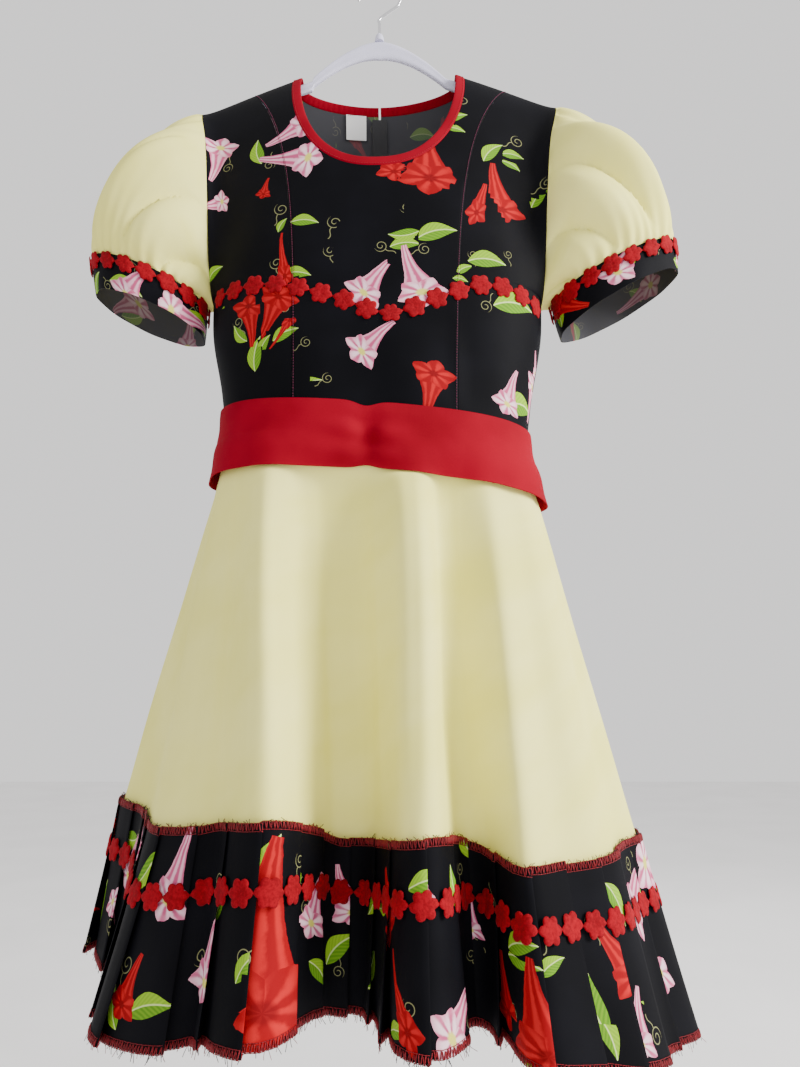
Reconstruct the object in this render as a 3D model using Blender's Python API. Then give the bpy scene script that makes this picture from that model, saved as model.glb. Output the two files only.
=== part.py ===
"""A knee-length folk dance dress hanging on a plastic hanger.

Frame: origin at the inside of the crown of the hanger's hook, +X to the right as
seen from the front, +Y from the front of the dress to its back, +Z up, metres.
Every piece of cloth is a thin wall. The bodice lies on one form, the skirt and its
flounce hang from the waist in folds that a short table names, and what is sewn on
a panel is made from that panel's own points, moved out.
"""

import math

import bmesh
import bpy
import numpy as np

# Cloth thicknesses and the gaps between pieces
CLOTH = 0.0012
FLOUNCE_CLOTH = 0.0010
BINDING_CLOTH = 0.0020
BELT_CLOTH = 0.0018
CUFF_CLOTH = 0.0014
TRIM_CLOTH = 0.0016
SEAM_GAP = 0.0004
LAY_GAP = 0.0003
EDGE_FROM_MIDDLE = 0.0006

# Hanger and hook
HOOK_WIRE = 0.0018
HOOK_BOW = 0.0240
HOOK_CROWN_ABOVE_NUB = 0.080
HANGER_CREST_Z = -0.090
HANGER_DEPTH_MIDDLE = 0.025
HANGER_DEPTH_ARM = 0.013
HANGER_HALF_THICKNESS = 0.0036
HANGER_BELOW_SEAM = 0.0023
HANGER_REACH = 0.188
HANGER_NECK_HALF = 0.078
NUB_RADIUS = 0.0055

# Bodice form
NECK_HALF = 0.098
NECK_Z = -0.148
TIP_HALF = 0.203
TIP_Z = -0.189
PIT_Z = -0.434
RIDGE_ROUND = 0.040
SIDE_TILT = 0.024
CHEST_FALL = 0.250
ARMHOLE_KEEP = 0.80
FLATTEN = 0.06
NECK_DROP_FRONT = 0.160
NECK_DROP_BACK = 0.0135
NECK_POWER = 2.3
BINDING_WIDTH = 0.0095
ZIP_HALF_GAP = 0.003
PRINCESS_TOP = 0.150
PRINCESS_LOW = 0.080
PRINCESS_FADE = 0.100
PRINCESS_MEETS_YOKE = -0.335
NECK_STEPS = 10
ARMHOLE_STEPS = 12
WAIST_Z = -0.605
WAIST_TILT = -0.070

# height, half width of the body or of the armhole's edge, depth from the middle plane
BODY_SECTIONS = (
    (-0.148, 0.206, 0.066),
    (-0.189, 0.203, 0.068),
    (-0.250, 0.190, 0.070),
    (-0.328, 0.182, 0.074),
    (-0.434, 0.1785, 0.079),
    (-0.470, 0.1770, 0.080),
    (-0.540, 0.164, 0.078),
    (-0.605, 0.157, 0.077),
    (-0.680, 0.160, 0.080),
)

# Each fold of the skirt, from the middle of the back round by the left side:
# angle at the waist in degrees, then x and y at the flounce's seam, the seam's
# height, x and y at the hem and the hem's height, all in millimetres
FOLDS = (
    ("back_middle_valley", -180, 0, 104, -966, 2, 114, -1108),
    ("back_left_crest", -164, -56, 150, -964, -60, 164, -1104),
    ("back_left_valley", -148, -112, 108, -962, -120, 118, -1102),
    ("back_outer_crest", -134, -168, 132, -960, -180, 146, -1098),
    ("back_outer_valley", -118, -206, 84, -958, -220, 92, -1092),
    ("left_side_crest", -98, -252, 30, -957, -266, 30, -1087),
    ("left_side_valley", -84, -212, -26, -960, -226, -26, -1098),
    ("front_left_crest", -73, -184, -90, -967, -220, -90, -1116),
    ("front_left_face", -62, -150, -114, -965, -168, -126, -1113),
    ("front_left_valley", -54, -122, -117, -960, -132, -126, -1108),
    ("sharp_crest_left", -46, -96, -144, -956, -102, -158, -1100),
    ("sharp_crest_right", -39, -70, -146, -955, -74, -161, -1098),
    ("recess_left", -30, -47, -100, -966, -51, -104, -1098),
    ("recess_middle_left", -21, -31, -76, -976, -33, -77, -1105),
    ("recess_middle_right", -9, -5, -75, -977, -5, -76, -1106),
    ("recess_right", 0, 12, -102, -973, 12, -107, -1104),
    ("narrow_crest_left", 9, 29, -144, -967, 28, -158, -1101),
    ("narrow_crest_right", 15, 53, -145, -965, 55, -159, -1103),
    ("deep_valley_left", 23, 73, -96, -974, 76, -102, -1105),
    ("deep_valley_right", 31, 97, -97, -979, 102, -103, -1108),
    ("wide_crest", 41, 122, -138, -988, 130, -158, -1113),
    ("wide_crease", 52, 156, -118, -989, 174, -132, -1123),
    ("wide_face", 64, 196, -94, -988, 218, -104, -1134),
    ("right_side_valley", 77, 222, -50, -987, 248, -54, -1142),
    ("right_side_crest", 92, 250, -2, -986, 282, -2, -1146),
    ("back_right_valley", 107, 212, 62, -982, 236, 68, -1138),
    ("back_right_crest", 122, 180, 120, -978, 196, 134, -1130),
    ("back_inner_valley", 136, 130, 98, -974, 140, 108, -1122),
    ("back_inner_crest", 150, 86, 148, -970, 94, 162, -1116),
    ("back_last_valley", 166, 36, 112, -968, 40, 122, -1111),
)
LEFT_SEAM_FOLD = 4.6
RIGHT_SEAM_FOLD = 24.4
SIDE_SEAM_GAP = 0.008

# Flounce
HEADING = 0.009
FLOUNCE_OFFSET = 0.0054
PLEATS_FRONT = 24
PLEATS_BACK = 20
PLEAT_LAYER = 0.0020
PLEAT_OPEN = 0.0060
VALLEY_CALM = 0.030
FLOUNCE_TRIM_AT = 0.27

# Trim tape: one flower after another
FLOWER_PITCH = 0.024
FLOWER_HALF = 0.0100
BRIDGE_HALF = 0.0025

# Waist sash
BELT_TOP = (-0.5725, -0.080)
BELT_LOW = (-0.640, -0.080, -0.25)
BELT_OFFSET = 0.0032
BELT_SPREAD = 0.006
BELT_PINCH_X = -0.008

# Sleeves: side, upper edge of the cuff at its outer and inner end, lower edge at
# its outer and inner end, each as x from the middle and z, in millimetres
SLEEVES = (
    ("left", -1, (314, -380), (189, -431), (306, -423), (190, -468)),
    ("right", 1, (328, -360), (192, -427), (329, -396), (201, -465)),
)
CUFF_HALF_DEPTH = 0.050
SLEEVE_REACH = 0.55
SLEEVE_FALL = 0.80
SLEEVE_FORWARD = 1.50
PUFF = 0.004
SLEEVE_FOLD = 0.006
SLEEVE_FOLDS = 7
SLEEVE_TAPE_DROP = 0.0115

# The bust tape's wave: x and z in millimetres
BUST_LINE = (
    ("left_end", -171, -441),
    ("left_high", -100, -444),
    ("left_slope", -40, -462),
    ("middle_low", 15, -480),
    ("right_slope", 62, -462),
    ("right_high", 112, -443),
    ("right_end", 173, -450),
)

# Zip at the middle of the back and the label beside it
ZIP_TAPE_HALF = 0.009
ZIP_TOP_Z = -0.166
SLIDER_Z = -0.178
SLIDER_LENGTH = 0.010
SLIDER_HALF_WIDTH = 0.0030
TAB_LENGTH = 0.021
LABEL_X = -0.0285
LABEL_TOP_Z = -0.1625
LABEL_SIZE = (0.024, 0.026)

COLOURS = {
    "black_print": ((0.010, 0.010, 0.014), 0.75),
    "pale_yellow": ((0.74, 0.70, 0.42), 0.70),
    "sash_red": ((0.52, 0.002, 0.008), 0.70),
    "trim_red": ((0.45, 0.002, 0.010), 0.90),
    "hanger_lilac": ((0.58, 0.57, 0.74), 0.40),
    "label_white": ((0.80, 0.80, 0.80), 0.80),
    "zip_black": ((0.015, 0.015, 0.017), 0.60),
    "chrome": ((0.70, 0.70, 0.72), 0.20),
}


def finish(name):
    """The material of this name, made once from the table of colours."""
    material = bpy.data.materials.get(name)
    if material is None:
        colour, roughness = COLOURS[name]
        material = bpy.data.materials.new(name)
        material.use_nodes = True
        shader = material.node_tree.nodes["Principled BSDF"]
        shader.inputs["Base Color"].default_value = (*colour, 1.0)
        shader.inputs["Roughness"].default_value = roughness
        shader.inputs["Metallic"].default_value = 1.0 if name == "chrome" else 0.0
        material.diffuse_color = (*colour, 1.0)
    return material


def add_piece(name, points, faces, material):
    """One named object from points and faces, with its faces turned outwards."""
    mesh = bpy.data.meshes.new(name)
    mesh.from_pydata([tuple(map(float, p)) for p in points], [], faces)
    work = bmesh.new()
    work.from_mesh(mesh)
    bmesh.ops.recalc_face_normals(work, faces=work.faces)
    work.to_mesh(mesh)
    work.free()
    mesh.materials.append(finish(material))
    mesh.shade_smooth()
    mesh.set_sharp_from_angle(angle=math.radians(40))
    piece = bpy.data.objects.new(name, mesh)
    bpy.context.collection.objects.link(piece)
    return piece


def grid_shifts(grid, closed):
    """Unit offsets of a grid (rows, columns, 3). Each is square to the cloth, and where a
    pleat turns sharply it is lengthened to the corner's mitre."""
    across = np.gradient(grid, axis=0)
    if closed:
        ahead = np.roll(grid, -1, axis=1) - grid
    else:
        ahead = np.diff(grid, axis=1)
        ahead = np.concatenate([ahead, ahead[:, -1:]], axis=1)
    square = np.cross(ahead, across)
    square /= np.maximum(np.linalg.norm(square, axis=2, keepdims=True), 1e-12)
    before = np.roll(square, 1, axis=1)
    if not closed:
        before[:, 0] = square[:, 0]
    turn = 1 + (before * square).sum(axis=2, keepdims=True)
    return (before + square) / np.maximum(turn, 0.5)


def thicken(name, points, quads, shift, material):
    """A closed wall round a sheet of quads: both sides, and a rim along every open edge. Each
    quad is split along its shorter diagonal, the same one on both sides, so that the sides
    stay apart where the cloth twists."""
    count = len(points)
    both = np.concatenate([points + shift, points - shift])
    split = []
    for a, b, c, d in quads:
        if np.linalg.norm(points[a] - points[c]) < np.linalg.norm(points[b] - points[d]):
            split += [[a, b, c], [a, c, d]]
        else:
            split += [[b, c, d], [b, d, a]]
    seen = {}
    for quad in quads:
        for a, b in zip(quad, quad[1:] + quad[:1]):
            seen.setdefault(frozenset((a, b)), []).append((a, b))
    faces = split + [[count + i for i in reversed(corners)] for corners in split]
    faces += [[b, a, count + a, count + b] for uses in seen.values() if len(uses) == 1 for a, b in uses]
    return add_piece(name, both, faces, material)


def grid_quads(rows, columns, closed=False):
    """The quads of a grid of points numbered row by row."""
    spans = columns if closed else columns - 1
    return [
        [r * columns + c, r * columns + (c + 1) % columns,
         (r + 1) * columns + (c + 1) % columns, (r + 1) * columns + c]
        for r in range(rows - 1)
        for c in range(spans)
    ]


def wall(name, grid, thickness, material, closed=False):
    """A cloth wall: a grid's points moved half a thickness to both sides, rims closed."""
    grid = np.asarray(grid, dtype=float)
    rows, columns, _ = grid.shape
    shift = grid_shifts(grid, closed).reshape(-1, 3) * thickness / 2
    quads = grid_quads(rows, columns, closed)
    return thicken(name, grid.reshape(-1, 3), quads, shift, material)


def tube(name, path, section, material, normal=(0.0, 1.0, 0.0)):
    """A closed section, given as (side, up) offsets per path point, carried along a path."""
    path = np.asarray(path, dtype=float)
    tangent = np.gradient(path, axis=0)
    tangent /= np.linalg.norm(tangent, axis=1, keepdims=True)
    side = np.broadcast_to(np.asarray(normal, dtype=float), path.shape)
    up = np.cross(side, tangent)
    rings = path[:, None] + section[..., 0:1] * side[:, None] + section[..., 1:2] * up[:, None]
    count, around, _ = rings.shape
    faces = [
        [k * around + i, k * around + (i + 1) % around, (k + 1) * around + (i + 1) % around, (k + 1) * around + i]
        for k in range(count - 1)
        for i in range(around)
    ]
    faces.append(list(range(around)))
    faces.append([(count - 1) * around + i for i in range(around)])
    return add_piece(name, rings.reshape(-1, 3), faces, material)


def read_table(heights, values, z):
    """A smooth curve through a table's values, heights falling, by Hermite spans."""
    heights = np.asarray(heights, dtype=float)[::-1]
    values = np.asarray(values, dtype=float)[::-1]
    slopes = np.gradient(values, heights)
    z = np.clip(z, heights[0], heights[-1])
    k = np.clip(np.searchsorted(heights, z) - 1, 0, len(heights) - 2)
    span = heights[k + 1] - heights[k]
    t = (z - heights[k]) / span
    return (
        values[k] * (1 + 2 * t) * (1 - t) ** 2
        + slopes[k] * span * t * (1 - t) ** 2
        + values[k + 1] * t * t * (3 - 2 * t)
        + slopes[k + 1] * span * t * t * (t - 1)
    )


SECTION_Z, SECTION_WIDTH, SECTION_DEPTH = zip(*BODY_SECTIONS)
RIDGE_FALL = (NECK_Z - TIP_Z) / (math.hypot(TIP_HALF, RIDGE_ROUND) - math.hypot(NECK_HALF, RIDGE_ROUND))


def shoulder_z(x):
    """The shoulder seam's height: a rounded ridge that falls to both sides and tilts a little."""
    ridge = np.sqrt(np.square(x) + RIDGE_ROUND**2) - math.hypot(NECK_HALF, RIDGE_ROUND)
    return NECK_Z - RIDGE_FALL * ridge + SIDE_TILT * x


def waist_z(x):
    """The waist seam's height."""
    return WAIST_Z + WAIST_TILT * x


def half_width(z):
    """Half the body's width, which above the armpit is the armhole's edge."""
    return read_table(SECTION_Z, SECTION_WIDTH, z)


def flat_arc(cosine):
    """How far out an ellipse with a flattened front stands, from 1 in the middle to 0 at the side."""
    return cosine * (1 - FLATTEN * (4 * cosine**2 - 3)) / (1 - FLATTEN)


def cloth_depth(x, z):
    """The cloth's distance from the middle plane: a quarter of an ellipse down from the
    shoulder ridge, times a flattened arc across, which the armhole's edge keeps open."""
    fall = np.clip((shoulder_z(x) - z) / CHEST_FALL, 0, 1)
    full = np.sqrt(1 - (1 - fall) ** 2) * read_table(SECTION_Z, SECTION_DEPTH, z)
    share = np.clip(np.abs(x) / half_width(z), 0, 1)
    arc = flat_arc(np.sqrt(1 - share**2))
    above_pit = np.clip((z - PIT_Z) / (TIP_Z - PIT_Z), 0, 1)
    keep = ARMHOLE_KEEP * np.sqrt(1 - (1 - above_pit) ** 2)
    return full * (arc + keep * (1 - arc) * share**12)


def lift(x, z, side, out=0.0):
    """Points on the front (side -1) or the back (side 1), moved out by a distance."""
    x, z = np.broadcast_arrays(np.asarray(x, dtype=float), np.asarray(z, dtype=float))
    y = side * (np.maximum(cloth_depth(x, z), EDGE_FROM_MIDDLE) + out)
    return np.stack([x, y, z], axis=-1)


def princess_x(z):
    """The princess seam's distance from the middle, falling from the shoulder to the waist."""
    top = shoulder_z(PRINCESS_TOP)
    return PRINCESS_LOW + (PRINCESS_TOP - PRINCESS_LOW) * np.exp((z - top) / PRINCESS_FADE)


def neck_z(x, drop):
    """The neckline's height: a superellipse hanging between the two neck points."""
    share = np.clip(np.abs(x) / NECK_HALF, 0, 1)
    return NECK_Z + SIDE_TILT * x - drop * (1 - share**NECK_POWER) ** (1 / NECK_POWER)


def neck_columns():
    """x of the front neckline's points from the neck point to the middle: even shares of a
    turn, but closer together at the shoulder, where the line is steep."""
    turn = math.pi / 2 * (1 - np.linspace(0, 1, NECK_STEPS + 1) ** 2.2)
    return NECK_HALF * np.sin(turn) ** (2 / NECK_POWER)


def front_middle_panel():
    """The middle of the front, between the princess seams. Its upper rows run from the
    neckline to the princess seam on each side, its lower ones from seam to seam."""
    rows, columns, low_rows = NECK_STEPS, 6, 6
    neck_x = neck_columns()
    share = np.linspace(0, 1, columns + 1)
    points, quads = [], []
    for sign in (-1, 1):
        inner_z = neck_z(sign * neck_x, NECK_DROP_FRONT)
        start = shoulder_z(sign * PRINCESS_TOP)
        outer_z = start + (PRINCESS_MEETS_YOKE - start) * np.linspace(0, 1, rows + 1) ** 1.3
        outer_x = princess_x(outer_z) - SEAM_GAP
        x = neck_x[:, None] + (outer_x - neck_x)[:, None] * share
        z = inner_z[:, None] + (outer_z - inner_z)[:, None] * share
        z[0] = shoulder_z(sign * x[0])
        down = np.linspace(0, 1, low_rows + 1)[1:, None]
        low_z = z[-1] + (WAIST_Z + SEAM_GAP - z[-1]) * down
        low_x = share * (princess_x(low_z) - SEAM_GAP)
        low_z = low_z + down * WAIST_TILT * sign * low_x
        first = sum(len(p) for p in points)
        sheet = lift(sign * np.concatenate([x, low_x]), np.concatenate([z, low_z]), -1)
        points.append(sheet.reshape(-1, 3))
        side = grid_quads(rows + 1 + low_rows, columns + 1)
        quads += [[first + i for i in (quad if sign > 0 else quad[::-1])] for quad in side]
    points = np.concatenate(points)
    shift = sheet_shifts(points, quads)
    half = len(points) // 2
    middle = {half + r * (columns + 1): r * (columns + 1) for r in range(rows, rows + 1 + low_rows)}
    for right, left in middle.items():
        joined = shift[right] + shift[left]
        shift[left] = joined / np.linalg.norm(joined)
    keep = [i for i in range(len(points)) if i not in middle]
    new = {old: k for k, old in enumerate(keep)}
    quads = [[new[middle.get(i, i)] for i in quad] for quad in quads]
    thicken("bodice_front_centre", points[keep], quads, shift[keep] * CLOTH / 2, "black_print")


def sheet_shifts(points, quads):
    """Unit normals at the points of a sheet of quads, averaged from its faces."""
    quads = np.array(quads)
    normal = np.cross(points[quads[:, 2]] - points[quads[:, 0]], points[quads[:, 3]] - points[quads[:, 1]])
    total = np.zeros_like(points)
    for corner in range(4):
        np.add.at(total, quads[:, corner], normal)
    return total / np.linalg.norm(total, axis=1, keepdims=True)


def panel_rows(top_of, inner_of, columns):
    """x and z of a panel from its inner edge to the armhole and side seam: straight shares
    at the shoulder turn into even angles at the armpit and below it."""
    x = inner_of(NECK_Z) + (TIP_HALF - inner_of(NECK_Z)) * columns
    for _ in range(6):
        z_top = top_of(x)
        x = inner_of(z_top) + (half_width(z_top) - inner_of(z_top)) * columns
    rows_x, rows_z = [], []
    for step in (1 - np.cos(np.linspace(0, math.pi, ARMHOLE_STEPS + 1))) / 2:
        z = z_top + (PIT_Z - z_top) * step
        rows_x.append(panel_x(z, inner_of, columns, step))
        rows_z.append(z)
    for step in np.linspace(0, 1, 5)[1:]:
        z = PIT_Z + (WAIST_Z + SEAM_GAP - PIT_Z) * step
        x = panel_x(np.full_like(columns, z), inner_of, columns, 1.0)
        rows_x.append(x)
        rows_z.append(z + 0 * x)
    return np.array(rows_x), np.array(rows_z)


def panel_x(z, inner_of, columns, turn):
    """x at each column: a blend from straight shares to even angles round the body."""
    width = half_width(z)
    inner = inner_of(z)
    straight = inner + (width - inner) * columns
    first = np.arcsin(inner / width)
    angle = first + (math.pi / 2 - first) * columns
    return straight + (width * np.sin(angle) - straight) * turn


def back_neck_x():
    """x of the back neckline's points from the zip to the neck point."""
    return ZIP_HALF_GAP + (NECK_HALF - ZIP_HALF_GAP) * np.sin(np.linspace(0, math.pi / 2, 7))


def side_and_back_panels():
    """The front's two side panels and the two halves of the back."""
    share = np.linspace(0, 1, 7)
    neck_x = back_neck_x()
    shoulder_x = np.linspace(NECK_HALF, TIP_HALF, 6)
    for word, sign in (("left", -1), ("right", 1)):
        seam = SEAM_GAP

        def back_top(x):
            mirrored = sign * x
            edge = np.abs(x) < NECK_HALF - 1e-4
            return np.where(edge, neck_z(mirrored, NECK_DROP_BACK), shoulder_z(mirrored))

        x, z = panel_rows(lambda x: shoulder_z(sign * x), lambda z: princess_x(z) + seam, share)
        z = tilt_to_waist(x * sign, z)
        wall(f"bodice_front_side_{word}", lift(x * sign, z, -1), CLOTH, "black_print")
        x = np.concatenate([neck_x, shoulder_x[1:]])
        z = np.where(x < NECK_HALF, back_top(x), shoulder_z(sign * x))
        back_share = (x - ZIP_HALF_GAP) / (half_width(z) - ZIP_HALF_GAP)
        back_share[-1] = 1.0
        x, z = panel_rows(back_top, lambda z: ZIP_HALF_GAP + 0 * z, back_share)
        z = tilt_to_waist(x * sign, z)
        wall(f"bodice_back_{word}", lift(x * sign, z, 1), CLOTH, "black_print")


def tilt_to_waist(x, z):
    """Heights below the armpit, tilted with the waist seam."""
    share = np.clip((PIT_Z - z) / (PIT_Z - WAIST_Z), 0, 1)
    return z + share * WAIST_TILT * x


def neck_loop():
    """Points of the neckline from the zip round the left side to the zip again, with normals."""
    half_front = neck_columns()
    front_x = np.concatenate([-half_front[:-1], half_front[::-1]])
    back_x = back_neck_x()[::-1][1:]
    front = lift(front_x, neck_z(front_x, NECK_DROP_FRONT), -1)
    left = lift(-back_x[::-1], neck_z(-back_x[::-1], NECK_DROP_BACK), 1)
    right = lift(back_x, neck_z(back_x, NECK_DROP_BACK), 1)
    front[[0, -1], 1] = 0.0
    loop = np.concatenate([left, front, right])
    side = np.sign(loop[:, 1])
    fall = np.clip((shoulder_z(loop[:, 0]) - loop[:, 2]) / CHEST_FALL, 0, 1)
    cosine = 1 - fall
    depth = read_table(SECTION_Z, SECTION_DEPTH, loop[:, 2])
    normal = np.stack([
        RIDGE_FALL * np.sign(loop[:, 0]) * depth * cosine * (np.abs(loop[:, 0]) > 0.05),
        side * CHEST_FALL * np.sqrt(1 - cosine**2),
        depth * cosine,
    ], axis=-1)
    return loop, normal / np.linalg.norm(normal, axis=1, keepdims=True)


def neck_binding():
    """The red binding: a strip from the neckline towards the opening."""
    loop, normal = neck_loop()
    tangent = np.gradient(loop, axis=0)
    inward = np.cross(normal, tangent)
    inward /= np.linalg.norm(inward, axis=1, keepdims=True)
    strip = np.stack([loop + inward * (2 * SEAM_GAP), loop + inward * BINDING_WIDTH])
    wall("neck_binding", strip, BINDING_CLOTH, "sash_red")


def closed_curve(column, u):
    """A smooth closed curve through one column of the fold table, by Catmull-Rom spans."""
    values = np.array([row[column] for row in FOLDS], dtype=float)
    turn = 360.0 if column == 1 else 0.0
    count = len(values)
    whole = np.floor(u).astype(int)
    t = u - whole

    def value(index):
        return values[index % count] + turn * (index // count)

    a, b, c, d = (value(whole + k) for k in (-1, 0, 1, 2))
    return 0.5 * (2 * b + (c - a) * t + (2 * a - 5 * b + 4 * c - d) * t**2 + (3 * b - a - 3 * c + d) * t**3)


def waist_ring(angle):
    """A point of the waist seam at an angle from the front's middle, to the right."""
    x = read_table(SECTION_Z, SECTION_WIDTH, WAIST_Z) * np.sin(angle)
    y = -read_table(SECTION_Z, SECTION_DEPTH, WAIST_Z) * flat_arc(np.cos(angle))
    return np.stack([x, y, waist_z(x)], axis=-1)


def skirt_point(u, down):
    """The skirt's cloth: straight lines from the waist ring to the folded seam line."""
    seam = np.stack([closed_curve(k, u) for k in (2, 3, 4)], axis=-1) * 0.001
    waist = waist_ring(np.radians(closed_curve(1, u)))
    return waist + (seam - waist) * np.asarray(down)[..., None]


def flounce_point(u, down):
    """The flounce's own cloth: straight lines from the seam to the hem, and above the
    seam the heading that stands up along the skirt."""
    seam = np.stack([closed_curve(k, u) for k in (2, 3, 4)], axis=-1) * 0.001
    hem = np.stack([closed_curve(k, u) for k in (5, 6, 7)], axis=-1) * 0.001
    down = np.asarray(down)
    waist = waist_ring(np.radians(closed_curve(1, u)))
    drop = (seam - waist) * (np.linalg.norm(hem - seam, axis=-1) / np.linalg.norm(seam - waist, axis=-1))[..., None]
    return seam + np.where(down[..., None] < 0, drop, hem - seam) * down[..., None]


def outward(u, down, surface):
    """The level direction that points out of the ring at a point of the skirt or flounce."""
    step = 1e-3
    along = surface(u + step, down) - surface(u - step, down)
    normal = np.stack([along[..., 1], -along[..., 0], np.zeros_like(u)], axis=-1)
    return normal / np.linalg.norm(normal, axis=-1, keepdims=True)


def even_steps(first, last, count, surface, down):
    """The table positions of points at even distances along the ring between two folds."""
    fine = np.linspace(first, last, 1200)
    points = surface(fine, np.full_like(fine, down))
    length = np.concatenate([[0], np.cumsum(np.linalg.norm(np.diff(points, axis=0), axis=1))])
    return np.interp(np.linspace(0, length[-1], count), length, fine), length[-1]


def skirt():
    """The flared skirt: the front between the side seams and two halves of the back."""
    last = len(FOLDS)
    parts = (
        ("skirt_front", LEFT_SEAM_FOLD, RIGHT_SEAM_FOLD),
        ("skirt_back_right", RIGHT_SEAM_FOLD, last),
        ("skirt_back_left", 0, LEFT_SEAM_FOLD),
    )
    levels = (0.0012, 0.12, 0.34, 0.58, 0.80, 1.01)
    for name, first, end in parts:
        places = np.linspace(first + SIDE_SEAM_GAP, end - SIDE_SEAM_GAP, round(4 * (end - first)) + 1)
        grid = np.stack([skirt_point(places, np.full_like(places, level)) for level in levels])
        wall(name, grid, CLOTH, "pale_yellow")


def pleat_offset(u, level):
    """How far the flounce's pleats stand out from its middle line: they open towards the
    hem, but stay shallow inside a tight valley."""
    step = 0.06
    down = np.full_like(u, level)
    here = flounce_point(u, down)
    bend = flounce_point(u + step, down) + flounce_point(u - step, down) - 2 * here
    span = np.linalg.norm(flounce_point(u + step, down) - flounce_point(u - step, down), axis=-1) / 2
    hollow = np.clip((bend * outward(u, down, flounce_point)).sum(axis=-1), 0, None) / span**2
    calm = 1 / (1 + (hollow * VALLEY_CALM) ** 2)
    return PLEAT_LAYER + (PLEAT_OPEN - PLEAT_LAYER) * np.clip(level, 0, 1) ** 1.2 * calm


def flounce_wall(name, first, end, pleats):
    """Knife pleats: at the heading each one rises to an edge and steps back, and it opens out
    into a wave at the hem. Each pleat has four columns, with a place along it and a layer."""
    _, length = even_steps(first, end, 2, flounce_point, 0.0)
    pitch = length / pleats
    folded = np.array([[0.03, -1], [0.36, -0.35], [0.68, 0.4], [0.93, 1]])
    opened = np.array([[0.0, -1], [0.27, -0.1], [0.52, 1], [0.78, 0.1]])
    fine = np.linspace(first, end, 2400)
    points = flounce_point(fine, np.zeros_like(fine))
    along = np.concatenate([[0], np.cumsum(np.linalg.norm(np.diff(points, axis=0), axis=1))])
    rows = []
    for level in (-HEADING / 0.14, 0.22, 0.60, 1.0):
        open_share = np.clip(level, 0, 1) ** 0.8
        shape = folded + (opened - folded) * open_share
        place = (np.arange(pleats)[:, None] + shape[None, :, 0]).ravel()
        layer = np.tile(shape[:, 1], pleats)
        place[[0, -1]] = 0.0, pleats
        layer[[0, -1]] *= 1 - open_share
        u = np.interp(place * pitch, along, fine)
        down = np.full_like(u, level)
        out = outward(u, down, flounce_point)
        rows.append(flounce_point(u, down) + out * (FLOUNCE_OFFSET + layer * pleat_offset(u, level))[:, None])
    wall(name, np.stack(rows), FLOUNCE_CLOTH, "black_print")


def tape(name, middle, up, out):
    """A tape of flowers: a strip whose half height swells at each flower. The middle line,
    its upward direction and its outward direction are given at three points a flower."""
    count = len(middle)
    half = np.where(np.arange(count) % 3 == 0, BRIDGE_HALF, FLOWER_HALF)[:, None]
    strip = np.concatenate([middle + up * half, middle - up * half])
    shift = np.concatenate([out, out]) * TRIM_CLOTH / 2
    return thicken(name, strip, grid_quads(2, count), shift, "trim_red")


def flounce():
    """The pleated flounce in a front and a back part, each with its tape of flowers."""
    last = len(FOLDS)
    parts = (
        ("front", LEFT_SEAM_FOLD, RIGHT_SEAM_FOLD, PLEATS_FRONT),
        ("back", RIGHT_SEAM_FOLD, last + LEFT_SEAM_FOLD, PLEATS_BACK),
    )
    for word, first, end, pleats in parts:
        flounce_wall(f"flounce_{word}", first + SIDE_SEAM_GAP, end - SIDE_SEAM_GAP, pleats)
        _, length = even_steps(first, end, 2, flounce_point, FLOUNCE_TRIM_AT)
        flowers = int(length / FLOWER_PITCH)
        u, _ = even_steps(first + 0.02, end - 0.02, 3 * flowers + 1, flounce_point, FLOUNCE_TRIM_AT)
        down = np.full_like(u, FLOUNCE_TRIM_AT)
        out = outward(u, down, flounce_point)
        lie = FLOUNCE_OFFSET + pleat_offset(u, FLOUNCE_TRIM_AT) + FLOUNCE_CLOTH / 2 + TRIM_CLOTH / 2 + 3 * LAY_GAP
        up = flounce_point(u, down * 0) - flounce_point(u, down)
        up /= np.linalg.norm(up, axis=1, keepdims=True)
        tape(f"flounce_trim_{word}", flounce_point(u, down) + out * lie[:, None], up, out)


def body_ring(angle, z):
    """A point round the body at a height near the waist: the bodice above it, the skirt below."""
    width = half_width(np.maximum(z, WAIST_Z))
    depth = read_table(SECTION_Z, SECTION_DEPTH, np.maximum(z, WAIST_Z))
    above = np.stack([width * np.sin(angle), -depth * flat_arc(np.cos(angle)), z], axis=-1)
    table = np.linspace(0, len(FOLDS), 2000)
    degrees = closed_curve(1, table)
    u = np.interp((np.degrees(angle) + 180) % 360 - 180, degrees, table)
    seam_z = closed_curve(4, u) * 0.001
    top = waist_ring(angle)[..., 2]
    share = np.clip((top - z) / (top - seam_z), 0, 1)
    below = skirt_point(u, share)
    return np.where((z > top)[..., None], above, below)


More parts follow.
